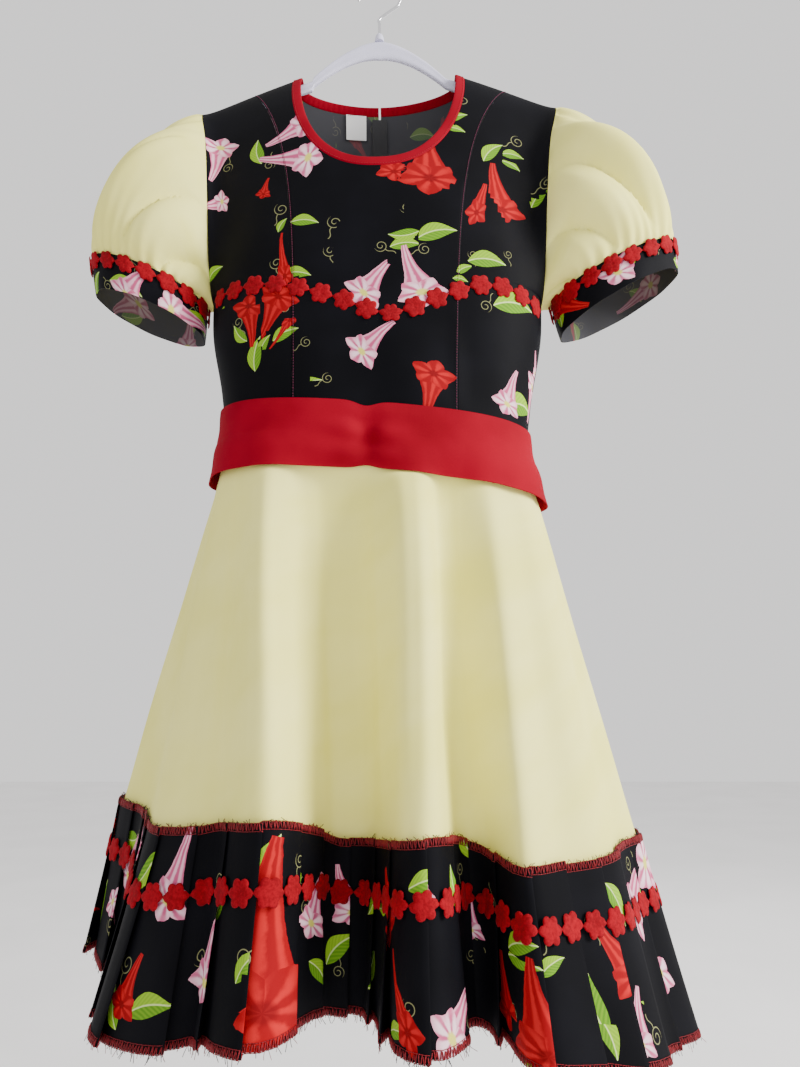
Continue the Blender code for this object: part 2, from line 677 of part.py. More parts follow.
def belt():
    """The red sash: a front with a pinched middle and a back, standing off more at its lower sides."""
    for word, start in (("front", -90), ("back", 90)):
        angle = np.radians(np.linspace(start + 0.4, start + 179.6, 29))
        width = read_table(SECTION_Z, SECTION_WIDTH, WAIST_Z)
        x = width * np.sin(angle)
        top = BELT_TOP[0] + BELT_TOP[1] * x
        low = BELT_LOW[0] + BELT_LOW[1] * x + BELT_LOW[2] * x * x
        rows = []
        for step in (0.0, 0.33, 0.67, 1.0):
            z = top + (low - top) * step
            ring = body_ring(angle, z)
            tangent = np.gradient(ring, axis=0)
            out = np.stack([tangent[:, 1], -tangent[:, 0], 0 * x], axis=-1)
            out /= np.linalg.norm(out, axis=1, keepdims=True)
            pinch = np.exp(-(((x - BELT_PINCH_X) / 0.012) ** 2)) if word == "front" else 0 * x
            away = BELT_OFFSET + BELT_SPREAD * step**2 * np.sin(angle) ** 2
            away = away + 0.004 * math.sin(math.pi * step) * (1 - pinch)
            row = ring + out * away[:, None]
            row[:, 2] += 0.006 * pinch * (step - 0.5)
            rows.append(row)
        wall(f"belt_{word}", np.stack(rows), BELT_CLOTH, "sash_red")


def armhole_loop(sign, turn):
    """Points of the armhole's edge: turn 0 at the shoulder, half a turn at the armpit,
    the front first."""
    middle, half = (TIP_Z + PIT_Z) / 2, (TIP_Z - PIT_Z) / 2
    z = middle + half * np.cos(turn)
    tip = shoulder_z(sign * TIP_HALF) - TIP_Z
    z_tilted = z + tip * np.clip((z - PIT_Z) / (TIP_Z - PIT_Z), 0, 1)
    x = sign * half_width(z_tilted)
    y = -np.sign(np.sin(turn)) * cloth_depth(x, z_tilted)
    return np.stack([x + sign * 3 * SEAM_GAP, y, z_tilted], axis=-1)


def cuff_loop(sign, outer, inner, turn, swell=0.0):
    """Points of a cuff's edge: an ellipse between its outer and its inner end."""
    ends = np.array([outer, inner], dtype=float) * 0.001
    middle, half = ends.mean(axis=0), (ends[0] - ends[1]) / 2
    x = middle[0] + half[0] * np.cos(turn) * (1 + swell)
    z = middle[1] + half[1] * np.cos(turn) * (1 + swell)
    y = -CUFF_HALF_DEPTH * (1 + swell) * np.sin(turn)
    return np.stack([sign * x, y, z], axis=-1)


def sleeve_surface(sign, outer, inner, low_outer, low_inner, turn, along):
    """A puff sleeve: Hermite curves from the armhole to the cuff's upper edge, leaving the
    armhole outwards, and downwards at the shoulder, and reaching the cuff along its own
    direction, with soft raised folds."""
    start = armhole_loop(sign, turn)
    end = cuff_loop(sign, outer, inner, turn)
    reach = np.linalg.norm(end - start, axis=-1, keepdims=True)
    reach = reach * np.clip(reach / 0.060, 0, 1)
    over = np.clip(np.cos(turn), 0, 1)
    leave = np.stack([sign * (1.0 + 0 * turn), -SLEEVE_FORWARD * np.sin(turn), 0.10 - SLEEVE_FALL * over], axis=-1)
    drop = np.array([
        sign * 0.5 * (low_outer[0] + low_inner[0] - outer[0] - inner[0]),
        0.0,
        0.5 * (low_outer[1] + low_inner[1] - outer[1] - inner[1]),
    ])
    drop = drop / np.linalg.norm(drop)
    arrive = drop + np.stack([0 * turn, 0.75 * np.sin(turn), 0 * turn], axis=-1)
    t = along
    point = (
        start * (1 + 2 * t) * (1 - t) ** 2
        + leave * reach * SLEEVE_REACH * t * (1 - t) ** 2
        + end * t * t * (3 - 2 * t)
        + arrive * reach * 0.9 * t * t * (t - 1)
    )
    swell = math.sin(math.pi * t)
    upper = np.clip(np.cos(turn) + 0.35, 0, 1)
    folds = SLEEVE_FOLD * swell * upper * np.cos(SLEEVE_FOLDS * turn)
    outwards = np.stack([sign * 0.6 * np.cos(turn), -np.sin(turn), 0.5 * np.cos(turn)], axis=-1)
    return point + outwards * (folds + PUFF * swell * upper)[:, None]


def sleeves():
    """Both puff sleeves with their cuffs and the tape over each cuff's seam."""
    turn = np.linspace(0, 2 * math.pi, 2 * ARMHOLE_STEPS + 1)[:-1]
    for word, sign, outer, inner, low_outer, low_inner in SLEEVES:
        rows = [
            sleeve_surface(sign, outer, inner, low_outer, low_inner, turn, t)
            for t in (0.0, 0.10, 0.25, 0.45, 0.68, 0.88, 1.0)
        ]
        wall(f"sleeve_{word}", np.stack(rows), CLOTH, "pale_yellow", closed=True)
        top = cuff_loop(sign, outer, inner, turn)
        low = cuff_loop(sign, low_outer, low_inner, turn, 0.01)
        down = (low - top) / np.linalg.norm(low - top, axis=1, keepdims=True)
        cuff = [top + down * 3 * SEAM_GAP, top + (low - top) * 0.5, low]
        wall(f"cuff_{word}", np.stack(cuff), CUFF_CLOTH, "black_print", closed=True)
        sleeve_tape(word, sign, outer, inner, low_outer, low_inner)


def sleeve_tape(word, sign, outer, inner, low_outer, low_inner):
    """The flowers over the seam of a sleeve and its cuff, starting at the inner side."""
    fine = np.linspace(math.pi, 3 * math.pi, 400)
    ring = cuff_loop(sign, outer, inner, fine)
    length = np.concatenate([[0], np.cumsum(np.linalg.norm(np.diff(ring, axis=0), axis=1))])
    flowers = int(length[-1] / FLOWER_PITCH)
    turn = np.interp(np.linspace(0.01, 0.99, 3 * flowers + 1) * length[-1], length, fine)
    top = cuff_loop(sign, outer, inner, turn)
    low = cuff_loop(sign, low_outer, low_inner, turn)
    up = (top - low) / np.linalg.norm(top - low, axis=1, keepdims=True)
    tangent = np.gradient(top, axis=0)
    out = np.cross(tangent, up) * -sign
    out /= np.linalg.norm(out, axis=1, keepdims=True)
    middle = top - up * SLEEVE_TAPE_DROP + out * (CUFF_CLOTH / 2 + TRIM_CLOTH / 2 + 4 * LAY_GAP)
    tape(f"sleeve_trim_{word}", middle, up, out)


def bust_tape():
    """The flowers across the bust, in a slow wave."""
    key_x = np.array([row[1] for row in BUST_LINE]) * 0.001
    key_z = np.array([row[2] for row in BUST_LINE]) * 0.001
    fine = np.linspace(key_x[0], key_x[-1], 600)
    z = read_table(-key_x, key_z, -fine)
    line = lift(fine, z, -1)
    length = np.concatenate([[0], np.cumsum(np.linalg.norm(np.diff(line, axis=0), axis=1))])
    flowers = int(length[-1] / FLOWER_PITCH)
    x = np.interp(np.linspace(0, length[-1], 3 * flowers + 1), length, fine)
    z = read_table(-key_x, key_z, -x)
    middle = lift(x, z, -1)
    tangent = np.gradient(middle, axis=0)
    above = lift(x, z + 0.004, -1)
    out = np.cross(tangent, above - middle)
    out /= -np.linalg.norm(out, axis=1, keepdims=True)
    up = np.cross(tangent, out)
    up /= np.linalg.norm(up, axis=1, keepdims=True)
    up *= np.sign(up[:, 2:3])
    middle = middle + out * np.sign(-out[:, 1:2]) * (CLOTH / 2 + TRIM_CLOTH / 2 + 5 * LAY_GAP)
    tape("bodice_trim", middle, up, out)


def hanger():
    """The arched plastic hanger with its nub, and the wire hook that stands in it."""
    arm = np.sin(np.linspace(0, math.pi / 2, 9))[1:]
    half = np.concatenate([np.linspace(0, HANGER_NECK_HALF, 8),
                           HANGER_NECK_HALF + (HANGER_REACH - HANGER_NECK_HALF) * arm])
    x = np.concatenate([-half[:0:-1], half])
    arch = HANGER_CREST_Z - (HANGER_CREST_Z - shoulder_z(HANGER_NECK_HALF) + HANGER_BELOW_SEAM) * (
        np.abs(x) / HANGER_NECK_HALF
    ) ** 1.7
    top = np.where(np.abs(x) < HANGER_NECK_HALF, arch, shoulder_z(x) - HANGER_BELOW_SEAM)
    share = np.clip(np.abs(x) / HANGER_NECK_HALF, 0, 1)
    tall = HANGER_DEPTH_MIDDLE + (HANGER_DEPTH_ARM - HANGER_DEPTH_MIDDLE) * share
    end = np.sqrt(1 - (np.abs(x) / (HANGER_REACH * 1.004)) ** 16)
    tall = tall * end
    around = np.linspace(0, 2 * math.pi, 11)[:-1]
    path = np.stack([x, 0 * x, top - tall / 2], axis=-1)
    side = HANGER_HALF_THICKNESS * end[:, None] * np.cos(around)
    up = -0.5 * tall[:, None] * np.sin(around)
    tube("hanger_body", path, np.stack([side, up], axis=-1), "hanger_lilac")

    nub_top = -HOOK_CROWN_ABOVE_NUB
    round_nub = np.linspace(0, 2 * math.pi, 13)[:-1]
    levels = np.array([HANGER_CREST_Z - 0.0002, -0.0835, nub_top])
    radii = np.array([NUB_RADIUS, NUB_RADIUS, NUB_RADIUS * 0.7])
    path = np.stack([0 * levels, 0 * levels, levels], axis=-1)
    section = np.stack([radii[:, None] * np.cos(round_nub), radii[:, None] * np.sin(round_nub)], axis=-1)
    tube("hanger_nub", path, section, "hanger_lilac")

    stem_top = nub_top + 0.029
    centre_z = -HOOK_BOW
    bend = np.array([[0.0, nub_top + 0.0004], [0.0, nub_top + 0.015], [0.0006, stem_top - 0.006]])
    centre = np.array([0.0, centre_z])
    sweep = np.radians(np.linspace(-38, 200, 22))
    radius = HOOK_BOW + HOOK_WIRE
    bow = centre + radius * np.stack([np.cos(sweep), np.sin(sweep)], axis=-1)
    route = np.concatenate([bend, bow])
    fine = smooth_route(route, 34)
    path = np.stack([fine[:, 0], 0 * fine[:, 0], fine[:, 1]], axis=-1)
    ring = np.linspace(0, 2 * math.pi, 8)[:-1]
    section = np.broadcast_to(HOOK_WIRE * np.stack([np.cos(ring), np.sin(ring)], axis=-1), (len(path), 7, 2))
    tube("hanger_hook", path, section, "chrome")


def smooth_route(points, count):
    """A Catmull-Rom curve through points, sampled at even distances."""
    padded = np.concatenate([[2 * points[0] - points[1]], points, [2 * points[-1] - points[-2]]])
    u = np.linspace(0, len(points) - 1 - 1e-9, 900)
    k = np.floor(u).astype(int)
    t = (u - k)[:, None]
    a, b, c, d = (padded[k + i] for i in range(4))
    curve = 0.5 * (2 * b + (c - a) * t + (2 * a - 5 * b + 4 * c - d) * t**2 + (3 * b - a - 3 * c + d) * t**3)
    length = np.concatenate([[0], np.cumsum(np.linalg.norm(np.diff(curve, axis=0), axis=1))])
    even = np.linspace(0, length[-1], count)
    return np.stack([np.interp(even, length, curve[:, i]) for i in range(2)], axis=-1)


def box(name, low, high, material, frame=None):
    """A plain box between two corners, moved by a frame's rotation and place."""
    low, high = np.array(low), np.array(high)
    corners = np.array([[(low, high)[i][0], (low, high)[j][1], (low, high)[k][2]]
                        for i in (0, 1) for j in (0, 1) for k in (0, 1)])
    if frame is not None:
        corners = corners @ frame[0].T + frame[1]
    faces = [[0, 1, 3, 2], [4, 6, 7, 5], [0, 4, 5, 1], [2, 3, 7, 6], [0, 2, 6, 4], [1, 5, 7, 3]]
    return add_piece(name, corners, faces, material)


def extruded(name, outline, half_width_x, material, frame):
    """A flat outline in (out, up) carried from one side to the other along x."""
    outline = np.array(outline, dtype=float)
    count = len(outline)
    ends = [np.column_stack([np.full(count, s * half_width_x), outline]) for s in (-1, 1)]
    points = np.concatenate(ends) @ frame[0].T + frame[1]
    faces = [[i, (i + 1) % count, count + (i + 1) % count, count + i] for i in range(count)]
    faces.append(list(range(count)))
    faces.append([count + i for i in range(count)])
    return add_piece(name, points, faces, material)


def join_solids(base, others):
    """One solid from several that cross each other."""
    for other in others:
        cut = base.modifiers.new("join", "BOOLEAN")
        cut.operation = "UNION"
        cut.solver = "EXACT"
        cut.object = other
        other.hide_render = True
        other.display_type = "WIRE"
        other.name = "guide_" + other.name


def zip_and_label():
    """The zip's tape inside the back, its slider and pull tab outside, and the blank label."""
    z = np.linspace(ZIP_TOP_Z, waist_z(0) + 0.002, 9)
    x = np.array([-ZIP_TAPE_HALF, 0.0, ZIP_TAPE_HALF])
    inside = -(CLOTH + 3 * LAY_GAP + 0.0002)
    wall("zip_tape", lift(x[None, :], z[:, None], 1, inside), 0.0010, "zip_black")

    y0, y1 = (float(lift(0.0, SLIDER_Z + s, 1)[1]) for s in (0.005, -0.005))
    lean = math.atan2(y1 - y0, 0.010)
    turn = np.array([[1, 0, 0], [0, math.cos(lean), -math.sin(lean)], [0, math.sin(lean), math.cos(lean)]])
    place = lift(0.0, SLIDER_Z, 1)
    frame = (turn, place)
    base_out = 0.0030
    body = box("zip_slider", (-SLIDER_HALF_WIDTH + 0.0005, -0.0004, -SLIDER_LENGTH / 2),
               (SLIDER_HALF_WIDTH - 0.0005, base_out, SLIDER_LENGTH / 2), "chrome", frame)
    bar_out, bar_up = base_out + 0.0024, 0.0030
    ears = [
        box(f"ear_{k}", (s * 0.0021 - 0.0004, base_out - 0.0008, bar_up - 0.0014),
            (s * 0.0021 + 0.0004, bar_out + 0.0009, bar_up + 0.0014), "chrome", frame)
        for k, s in enumerate((-1, 1))
    ]
    ring = np.linspace(0, 2 * math.pi, 9)[:-1]
    bar = extruded("bar", np.column_stack([bar_out + 0.0006 * np.cos(ring), bar_up + 0.0006 * np.sin(ring)]),
                   0.0022, "chrome", frame)
    join_solids(body, [*ears, bar])

    hole, rim = 0.0010, 0.0019
    open_from, open_to = math.radians(-30), math.radians(240)
    inner = np.linspace(open_to, open_from, 10)
    outer = np.linspace(open_from, open_to, 10)
    eye_in = [(hole * math.cos(a), hole * math.sin(a)) for a in inner]
    eye_out = [(rim * math.cos(a), rim * math.sin(a)) for a in outer]
    plate = [(0.0008, -TAB_LENGTH), (0.0019, -TAB_LENGTH)]
    outline = eye_out + eye_in + plate
    pivot = turn @ np.array([0.0, bar_out, bar_up]) + place
    hinge = bpy.data.objects.new("pull_hinge", None)
    bpy.context.collection.objects.link(hinge)
    hinge.location = pivot
    tab = extruded("zip_pull_tab", outline, 0.0014, "chrome", (turn, np.zeros(3)))
    tab.parent = hinge

    low = LABEL_TOP_Z - LABEL_SIZE[1]
    x = np.linspace(LABEL_X - LABEL_SIZE[0] / 2, LABEL_X + LABEL_SIZE[0] / 2, 4)
    z = np.linspace(LABEL_TOP_Z, low, 5)
    wall("size_label", lift(x[None, :], z[:, None], 1, -(CLOTH + 3 * LAY_GAP)), 0.0010, "label_white")


def main():
    for piece in list(bpy.data.objects):
        bpy.data.objects.remove(piece, do_unlink=True)
    hanger()
    front_middle_panel()
    side_and_back_panels()
    neck_binding()
    zip_and_label()
    sleeves()
    bust_tape()
    belt()
    skirt()
    flounce()


if __name__ == "__main__":
    main()
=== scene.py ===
"""The looks of a folk dance dress on its hanger: cloth shells, print, tapes, stitches and light.

Frame: origin at the inside of the crown of the hanger's hook, +X to the right as seen
from the front, +Y to the back, +Z up, metres. Each piece of cloth is a surface of two
parameters, worked out for a whole grid at once, on the form of the solid it replaces.
"""

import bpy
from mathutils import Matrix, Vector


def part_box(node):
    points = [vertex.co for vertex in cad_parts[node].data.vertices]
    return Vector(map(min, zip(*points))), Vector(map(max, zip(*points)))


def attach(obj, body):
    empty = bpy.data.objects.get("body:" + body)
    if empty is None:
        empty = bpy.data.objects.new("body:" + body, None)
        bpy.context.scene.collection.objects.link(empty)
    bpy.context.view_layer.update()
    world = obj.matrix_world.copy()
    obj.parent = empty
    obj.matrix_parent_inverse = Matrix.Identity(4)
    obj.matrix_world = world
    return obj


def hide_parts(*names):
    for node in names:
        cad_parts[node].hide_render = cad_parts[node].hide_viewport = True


bl_info = {
    "name": "Folk dance dress",
    "version": (1, 0, 0),
    "blender": (4, 5, 0),
    "location": "3D View > Sidebar > Dress",
    "description": "Builds the cloth, print, flower tapes and stitching of a folk dance dress",
    "category": "Add Mesh",
}

import math

import bmesh
import bpy
import numpy as np

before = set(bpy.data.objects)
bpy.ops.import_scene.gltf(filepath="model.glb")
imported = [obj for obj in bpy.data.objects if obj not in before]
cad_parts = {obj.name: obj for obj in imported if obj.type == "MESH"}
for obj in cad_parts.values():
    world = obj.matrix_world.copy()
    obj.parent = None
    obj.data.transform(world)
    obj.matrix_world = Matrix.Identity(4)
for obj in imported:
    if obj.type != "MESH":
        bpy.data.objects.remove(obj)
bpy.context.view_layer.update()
BODY = "dress"

# Bodice form
NECK_HALF = 0.098
NECK_Z = -0.148
TIP_HALF = 0.203
TIP_Z = -0.189
PIT_Z = -0.434
RIDGE_ROUND = 0.040
SIDE_TILT = 0.024
CHEST_FALL = 0.250
ARMHOLE_KEEP = 0.80
FLATTEN = 0.06
NECK_DROP_FRONT = 0.160
NECK_DROP_BACK = 0.0135
NECK_POWER = 2.3
BINDING_WIDTH = 0.0095
STITCH_INSET = 0.0016
ZIP_HALF_GAP = 0.003
PRINCESS_TOP = 0.150
PRINCESS_LOW = 0.080
PRINCESS_FADE = 0.100
PRINCESS_MEETS_YOKE = -0.335
EDGE_FROM_MIDDLE = 0.0006
SEAM_GAP = 0.0004
WAIST_Z = -0.605
WAIST_TILT = -0.070
WAIST_UNDER_SASH = 0.004

# height, half width of the body or of the armhole's edge, depth from the middle plane
BODY_SECTIONS = (
    (-0.148, 0.206, 0.066),
    (-0.189, 0.203, 0.068),
    (-0.250, 0.190, 0.070),
    (-0.328, 0.182, 0.074),
    (-0.434, 0.1785, 0.079),
    (-0.470, 0.1770, 0.080),
    (-0.540, 0.164, 0.078),
    (-0.605, 0.157, 0.077),
    (-0.680, 0.160, 0.080),
)

# Each fold of the skirt: angle at the waist in degrees, x, y and height at the flounce's
# seam, then x, y and height at the hem, in millimetres
FOLDS = (
    ("back_middle_valley", -180, 0, 104, -966, 2, 114, -1108),
    ("back_left_crest", -164, -56, 150, -964, -60, 164, -1104),
    ("back_left_valley", -148, -112, 108, -962, -120, 118, -1102),
    ("back_outer_crest", -134, -168, 132, -960, -180, 146, -1098),
    ("back_outer_valley", -118, -206, 84, -958, -220, 92, -1092),
    ("left_side_crest", -98, -252, 30, -957, -266, 30, -1087),
    ("left_side_valley", -84, -212, -26, -960, -226, -26, -1098),
    ("front_left_crest", -73, -184, -90, -967, -220, -90, -1116),
    ("front_left_face", -62, -150, -114, -965, -168, -126, -1113),
    ("front_left_valley", -54, -122, -117, -960, -132, -126, -1108),
    ("sharp_crest_left", -46, -96, -144, -956, -102, -158, -1100),
    ("sharp_crest_right", -39, -70, -146, -955, -74, -161, -1098),
    ("recess_left", -30, -47, -100, -966, -51, -104, -1098),
    ("recess_middle_left", -21, -31, -76, -976, -33, -77, -1105),
    ("recess_middle_right", -9, -5, -75, -977, -5, -76, -1106),
    ("recess_right", 0, 12, -102, -973, 12, -107, -1104),
    ("narrow_crest_left", 9, 29, -144, -967, 28, -158, -1101),
    ("narrow_crest_right", 15, 53, -145, -965, 55, -159, -1103),
    ("deep_valley_left", 23, 73, -96, -974, 76, -102, -1105),
    ("deep_valley_right", 31, 97, -97, -979, 102, -103, -1108),
    ("wide_crest", 41, 122, -138, -988, 130, -158, -1113),
    ("wide_crease", 52, 156, -118, -989, 174, -132, -1123),
    ("wide_face", 64, 196, -94, -988, 218, -104, -1134),
    ("right_side_valley", 77, 222, -50, -987, 248, -54, -1142),
    ("right_side_crest", 92, 250, -2, -986, 282, -2, -1146),
    ("back_right_valley", 107, 212, 62, -982, 236, 68, -1138),
    ("back_right_crest", 122, 180, 120, -978, 196, 134, -1130),
    ("back_inner_valley", 136, 130, 98, -974, 140, 108, -1122),
    ("back_inner_crest", 150, 86, 148, -970, 94, 162, -1116),
    ("back_last_valley", 166, 36, 112, -968, 40, 122, -1111),
)
LEFT_SEAM_FOLD = 4.6
RIGHT_SEAM_FOLD = 24.4
SIDE_SEAM_GAP = 0.004
FOLDS_OPEN_EARLY = 1.6

# Flounce
HEADING = 0.009
FLOUNCE_DEPTH = 0.140
HEADING_LEVEL = -HEADING / FLOUNCE_DEPTH
VALLEY_CALM = 0.030
TAPE_LEVEL = 0.27

# Waist sash: height, slope and bow of its upper and lower edge
SASH_TOP = (-0.5725, -0.080, 0.0)
SASH_LOW = (-0.640, -0.080, -0.25)
SASH_OFFSET = 0.0036
SASH_SPREAD = 0.006
SASH_PINCH_X = -0.008

# Sleeves: side, upper edge of the cuff at its outer and inner end, lower edge at its
# outer and inner end, each as x from the middle and z, in millimetres
SLEEVES = (
    ("left", -1, (314, -380), (189, -431), (306, -423), (190, -468)),
    ("right", 1, (328, -360), (192, -427), (329, -396), (201, -465)),
)
CUFF_HALF_DEPTH = 0.050
CUFF_SPREAD = 0.012
SLEEVE_TAPE_DROP = 0.0115
SLEEVE_LEAVING = 0.55
SLEEVE_ARRIVING = 0.90
SLEEVE_PUFF = 0.004
TOP_FOLD = 0.0095
SIDE_FOLD = 0.0140
HEAD_GATHER = 0.0022
CUFF_GATHER = 0.0018

# The bust tape's wave: x and z in millimetres
BUST_LINE = (
    ("left_end", -171, -441),
    ("left_high", -100, -444),
    ("left_slope", -40, -462),
    ("middle_low", 15, -480),
    ("right_slope", 62, -462),
    ("right_high", 112, -443),
    ("right_end", 173, -450),
)

# Hanger and hook
HOOK_WIRE = 0.0018
HOOK_BOW = 0.0240
NUB_TOP = -0.080
NUB_RADIUS = 0.0055
HANGER_CREST_Z = -0.090
HANGER_DEPTH_MIDDLE = 0.025
HANGER_DEPTH_ARM = 0.013
HANGER_HALF_THICKNESS = 0.0036
HANGER_BELOW_SEAM = 0.0023
HANGER_REACH = 0.188
HANGER_NECK_HALF = 0.078

# Camera and stage
FOCAL_PIXELS = 770.0
FRAME_HEIGHT = 1067.0
CAMERA_PLACE = (0.0245, -0.78, -0.844)
CAMERA_UP_DEGREES = 11.5
FLOOR_Z = -1.60
FLOOR_HALF = 6.0
WORLD_COLOUR = (0.98, 0.965, 0.96, 1.0)
WORLD_STRENGTH = 1.15
LIT_POINT = (0.0, 0.0, -0.65)
# name, place, size, watts, colour
LIGHTS = (
    ("window", (2.5, -1.0, 0.4), (0.9, 1.4), 170.0, (1.0, 0.99, 0.96)),
    ("behind", (0.6, 2.4, 0.4), (2.0, 1.6), 18.0, (1.0, 1.0, 1.0)),
)


def hermite(start, leave, end, arrive, t):
    """A cubic from start to end, whose slopes there are leave and arrive."""
    return (
        start * (1 + 2 * t) * (1 - t) ** 2
        + leave * t * (1 - t) ** 2
        + end * t * t * (3 - 2 * t)
        + arrive * t * t * (t - 1)
    )


def catmull_rom(a, b, c, d, t):
    """A cubic from b to c, whose slopes there are half the steps from a to c and b to d."""
    return 0.5 * (2 * b + (c - a) * t + (2 * a - 5 * b + 4 * c - d) * t**2 + (3 * b - a - 3 * c + d) * t**3)


def unit(vectors):
    """Vectors of the same directions, of length 1."""
    return vectors / np.maximum(np.linalg.norm(vectors, axis=-1, keepdims=True), 1e-12)


def sampled(values, length, place):
    """Points or directions at places along a line, straight between those it has."""
    return np.stack([np.interp(place, length, column) for column in values.T], axis=-1)


def circle(steps):
    """Even angles round a full turn, without its end."""
    return np.linspace(0, 2 * math.pi, steps + 1)[:-1]


def read_table(heights, values, z):
    """A smooth curve through a table's values, heights falling, by Hermite spans: each
    span is a cubic with the table's own slopes at both ends."""
    heights = np.asarray(heights, dtype=float)[::-1]
    values = np.asarray(values, dtype=float)[::-1]
    slopes = np.gradient(values, heights)
    z = np.clip(z, heights[0], heights[-1])
    k = np.clip(np.searchsorted(heights, z) - 1, 0, len(heights) - 2)
    span = heights[k + 1] - heights[k]
    t = (z - heights[k]) / span
    return hermite(values[k], slopes[k] * span, values[k + 1], slopes[k + 1] * span, t)


SECTION_Z, SECTION_WIDTH, SECTION_DEPTH = zip(*BODY_SECTIONS)
RIDGE_FALL = (NECK_Z - TIP_Z) / (math.hypot(TIP_HALF, RIDGE_ROUND) - math.hypot(NECK_HALF, RIDGE_ROUND))


def shoulder_z(x):
    """The shoulder seam's height: a rounded ridge that falls to both sides and tilts a little."""
    ridge = np.sqrt(np.square(x) + RIDGE_ROUND**2) - math.hypot(NECK_HALF, RIDGE_ROUND)
    return NECK_Z - RIDGE_FALL * ridge + SIDE_TILT * x


def waist_z(x):
    """The waist seam's height: a level with a small slope along x."""
    return WAIST_Z + WAIST_TILT * x


def half_width(z):
    """Half the body's width, which above the armpit is the armhole's edge."""
    return read_table(SECTION_Z, SECTION_WIDTH, z)


def flat_arc(cosine):
    """An ellipse with a flattened front: the cosine times one less a part of four of its
    squares less three, so it is 1 in the middle and 0 at the side."""
    return cosine * (1 - FLATTEN * (4 * cosine**2 - 3)) / (1 - FLATTEN)


def cloth_depth(x, z):
    """The cloth's distance from the middle plane: a quarter of an ellipse down from the
    shoulder ridge, times a flattened arc across, which the armhole's edge keeps open."""
    fall = np.clip((shoulder_z(x) - z) / CHEST_FALL, 0, 1)
    full = np.sqrt(1 - (1 - fall) ** 2) * read_table(SECTION_Z, SECTION_DEPTH, z)
    share = np.clip(np.abs(x) / half_width(z), 0, 1)
    arc = flat_arc(np.sqrt(1 - share**2))
    above_pit = np.clip((z - PIT_Z) / (TIP_Z - PIT_Z), 0, 1)
    keep = ARMHOLE_KEEP * np.sqrt(1 - (1 - above_pit) ** 2)
    return full * (arc + keep * (1 - arc) * share**12)


def lift(x, z, side, out=0.0):
    """Points on the front (side -1) or the back (side 1), moved out by a distance."""
    x, z = np.broadcast_arrays(np.asarray(x, dtype=float), np.asarray(z, dtype=float))
    y = side * (np.maximum(cloth_depth(x, z), EDGE_FROM_MIDDLE) + out)
    return np.stack([x, y, z], axis=-1)


def princess_x(z):
    """The princess seam's distance from the middle: an exponential fall from the shoulder."""
    top = shoulder_z(PRINCESS_TOP)
    return PRINCESS_LOW + (PRINCESS_TOP - PRINCESS_LOW) * np.exp((z - top) / PRINCESS_FADE)


def neck_z(x, drop):
    """The neckline's height: a superellipse hanging between the two neck points."""
    share = np.clip(np.abs(x) / NECK_HALF, 0, 1)
    return NECK_Z + SIDE_TILT * x - drop * (1 - share**NECK_POWER) ** (1 / NECK_POWER)


def neck_columns(steps):
    """x of the front neckline's points from the neck point to the middle: the power of a
    sine, with the steps closer together at the shoulder, where the line is steep."""
    turn = math.pi / 2 * (1 - np.linspace(0, 1, steps + 1) ** 2.2)
    return NECK_HALF * np.sin(turn) ** (2 / NECK_POWER)


def back_neck_columns(steps):
    """x of the back neckline's points from the zip to the neck point, by a sine."""
    first = ZIP_HALF_GAP * 0.4
    return first + (NECK_HALF - first) * np.sin(np.linspace(0, math.pi / 2, steps))


def panel_x(z, inner_of, columns, turn):
    """x at each column: straight shares between the edges, blended by turn into even
    angles round the body's ellipse."""
    width = half_width(z)
    inner = inner_of(z)
    straight = inner + (width - inner) * columns
    first = np.arcsin(inner / width)
    angle = first + (math.pi / 2 - first) * columns
    return straight + (width * np.sin(angle) - straight) * turn


def panel_rows(top_of, inner_of, columns, upper, lower):
    """x and z of a panel from its inner edge to the armhole and side seam: cosine steps
    down the armhole, then even steps from the armpit to the waist."""
    x = inner_of(NECK_Z) + (TIP_HALF - inner_of(NECK_Z)) * columns
    for _ in range(6):
        z_top = top_of(x)
        x = inner_of(z_top) + (half_width(z_top) - inner_of(z_top)) * columns
    turn = ((1 - np.cos(np.linspace(0, math.pi, upper + 1))) / 2)[:, None]
    z_upper = z_top + (PIT_Z - z_top) * turn
    down = np.linspace(0, 1, lower + 1)[1:, None]
    z_lower = PIT_Z + (WAIST_Z - PIT_Z) * down + 0 * columns
    x_upper = panel_x(z_upper, inner_of, columns, turn)
    x_lower = panel_x(z_lower, inner_of, columns, 1.0)
    return np.concatenate([x_upper, x_lower]), np.concatenate([z_upper, z_lower])


def tilt_to_waist(x, z):
    """Heights below the armpit, tilted more and more with the waist seam."""
    share = np.clip((PIT_Z - z) / (PIT_Z - WAIST_Z), 0, 1)
    return z + share * WAIST_TILT * x


def closed_curve(column, u):
    """A smooth closed curve through one column of the fold table, by Catmull-Rom spans:
    cubics through four rows in turn."""
    values = np.array([row[column] for row in FOLDS], dtype=float)
    turn = 360.0 if column == 1 else 0.0
    count = len(values)
    whole = np.floor(u).astype(int)
    t = u - whole
    a, b, c, d = (values[(whole + k) % count] + turn * ((whole + k) // count) for k in (-1, 0, 1, 2))
    return catmull_rom(a, b, c, d, t)


def waist_ring(angle):
    """A point of the waist seam at an angle from the front's middle, to the right: sine
    across and a flattened cosine in depth."""
    x = read_table(SECTION_Z, SECTION_WIDTH, WAIST_Z) * np.sin(angle)
    y = -read_table(SECTION_Z, SECTION_DEPTH, WAIST_Z) * flat_arc(np.cos(angle))
    return np.stack([x, y, waist_z(x)], axis=-1)


def fold_line(column, u):
    """Points along the folded seam, from column 2 of the table, or the hem, from column 5."""
    return np.stack([closed_curve(column + k, u) for k in range(3)], axis=-1) * 0.001


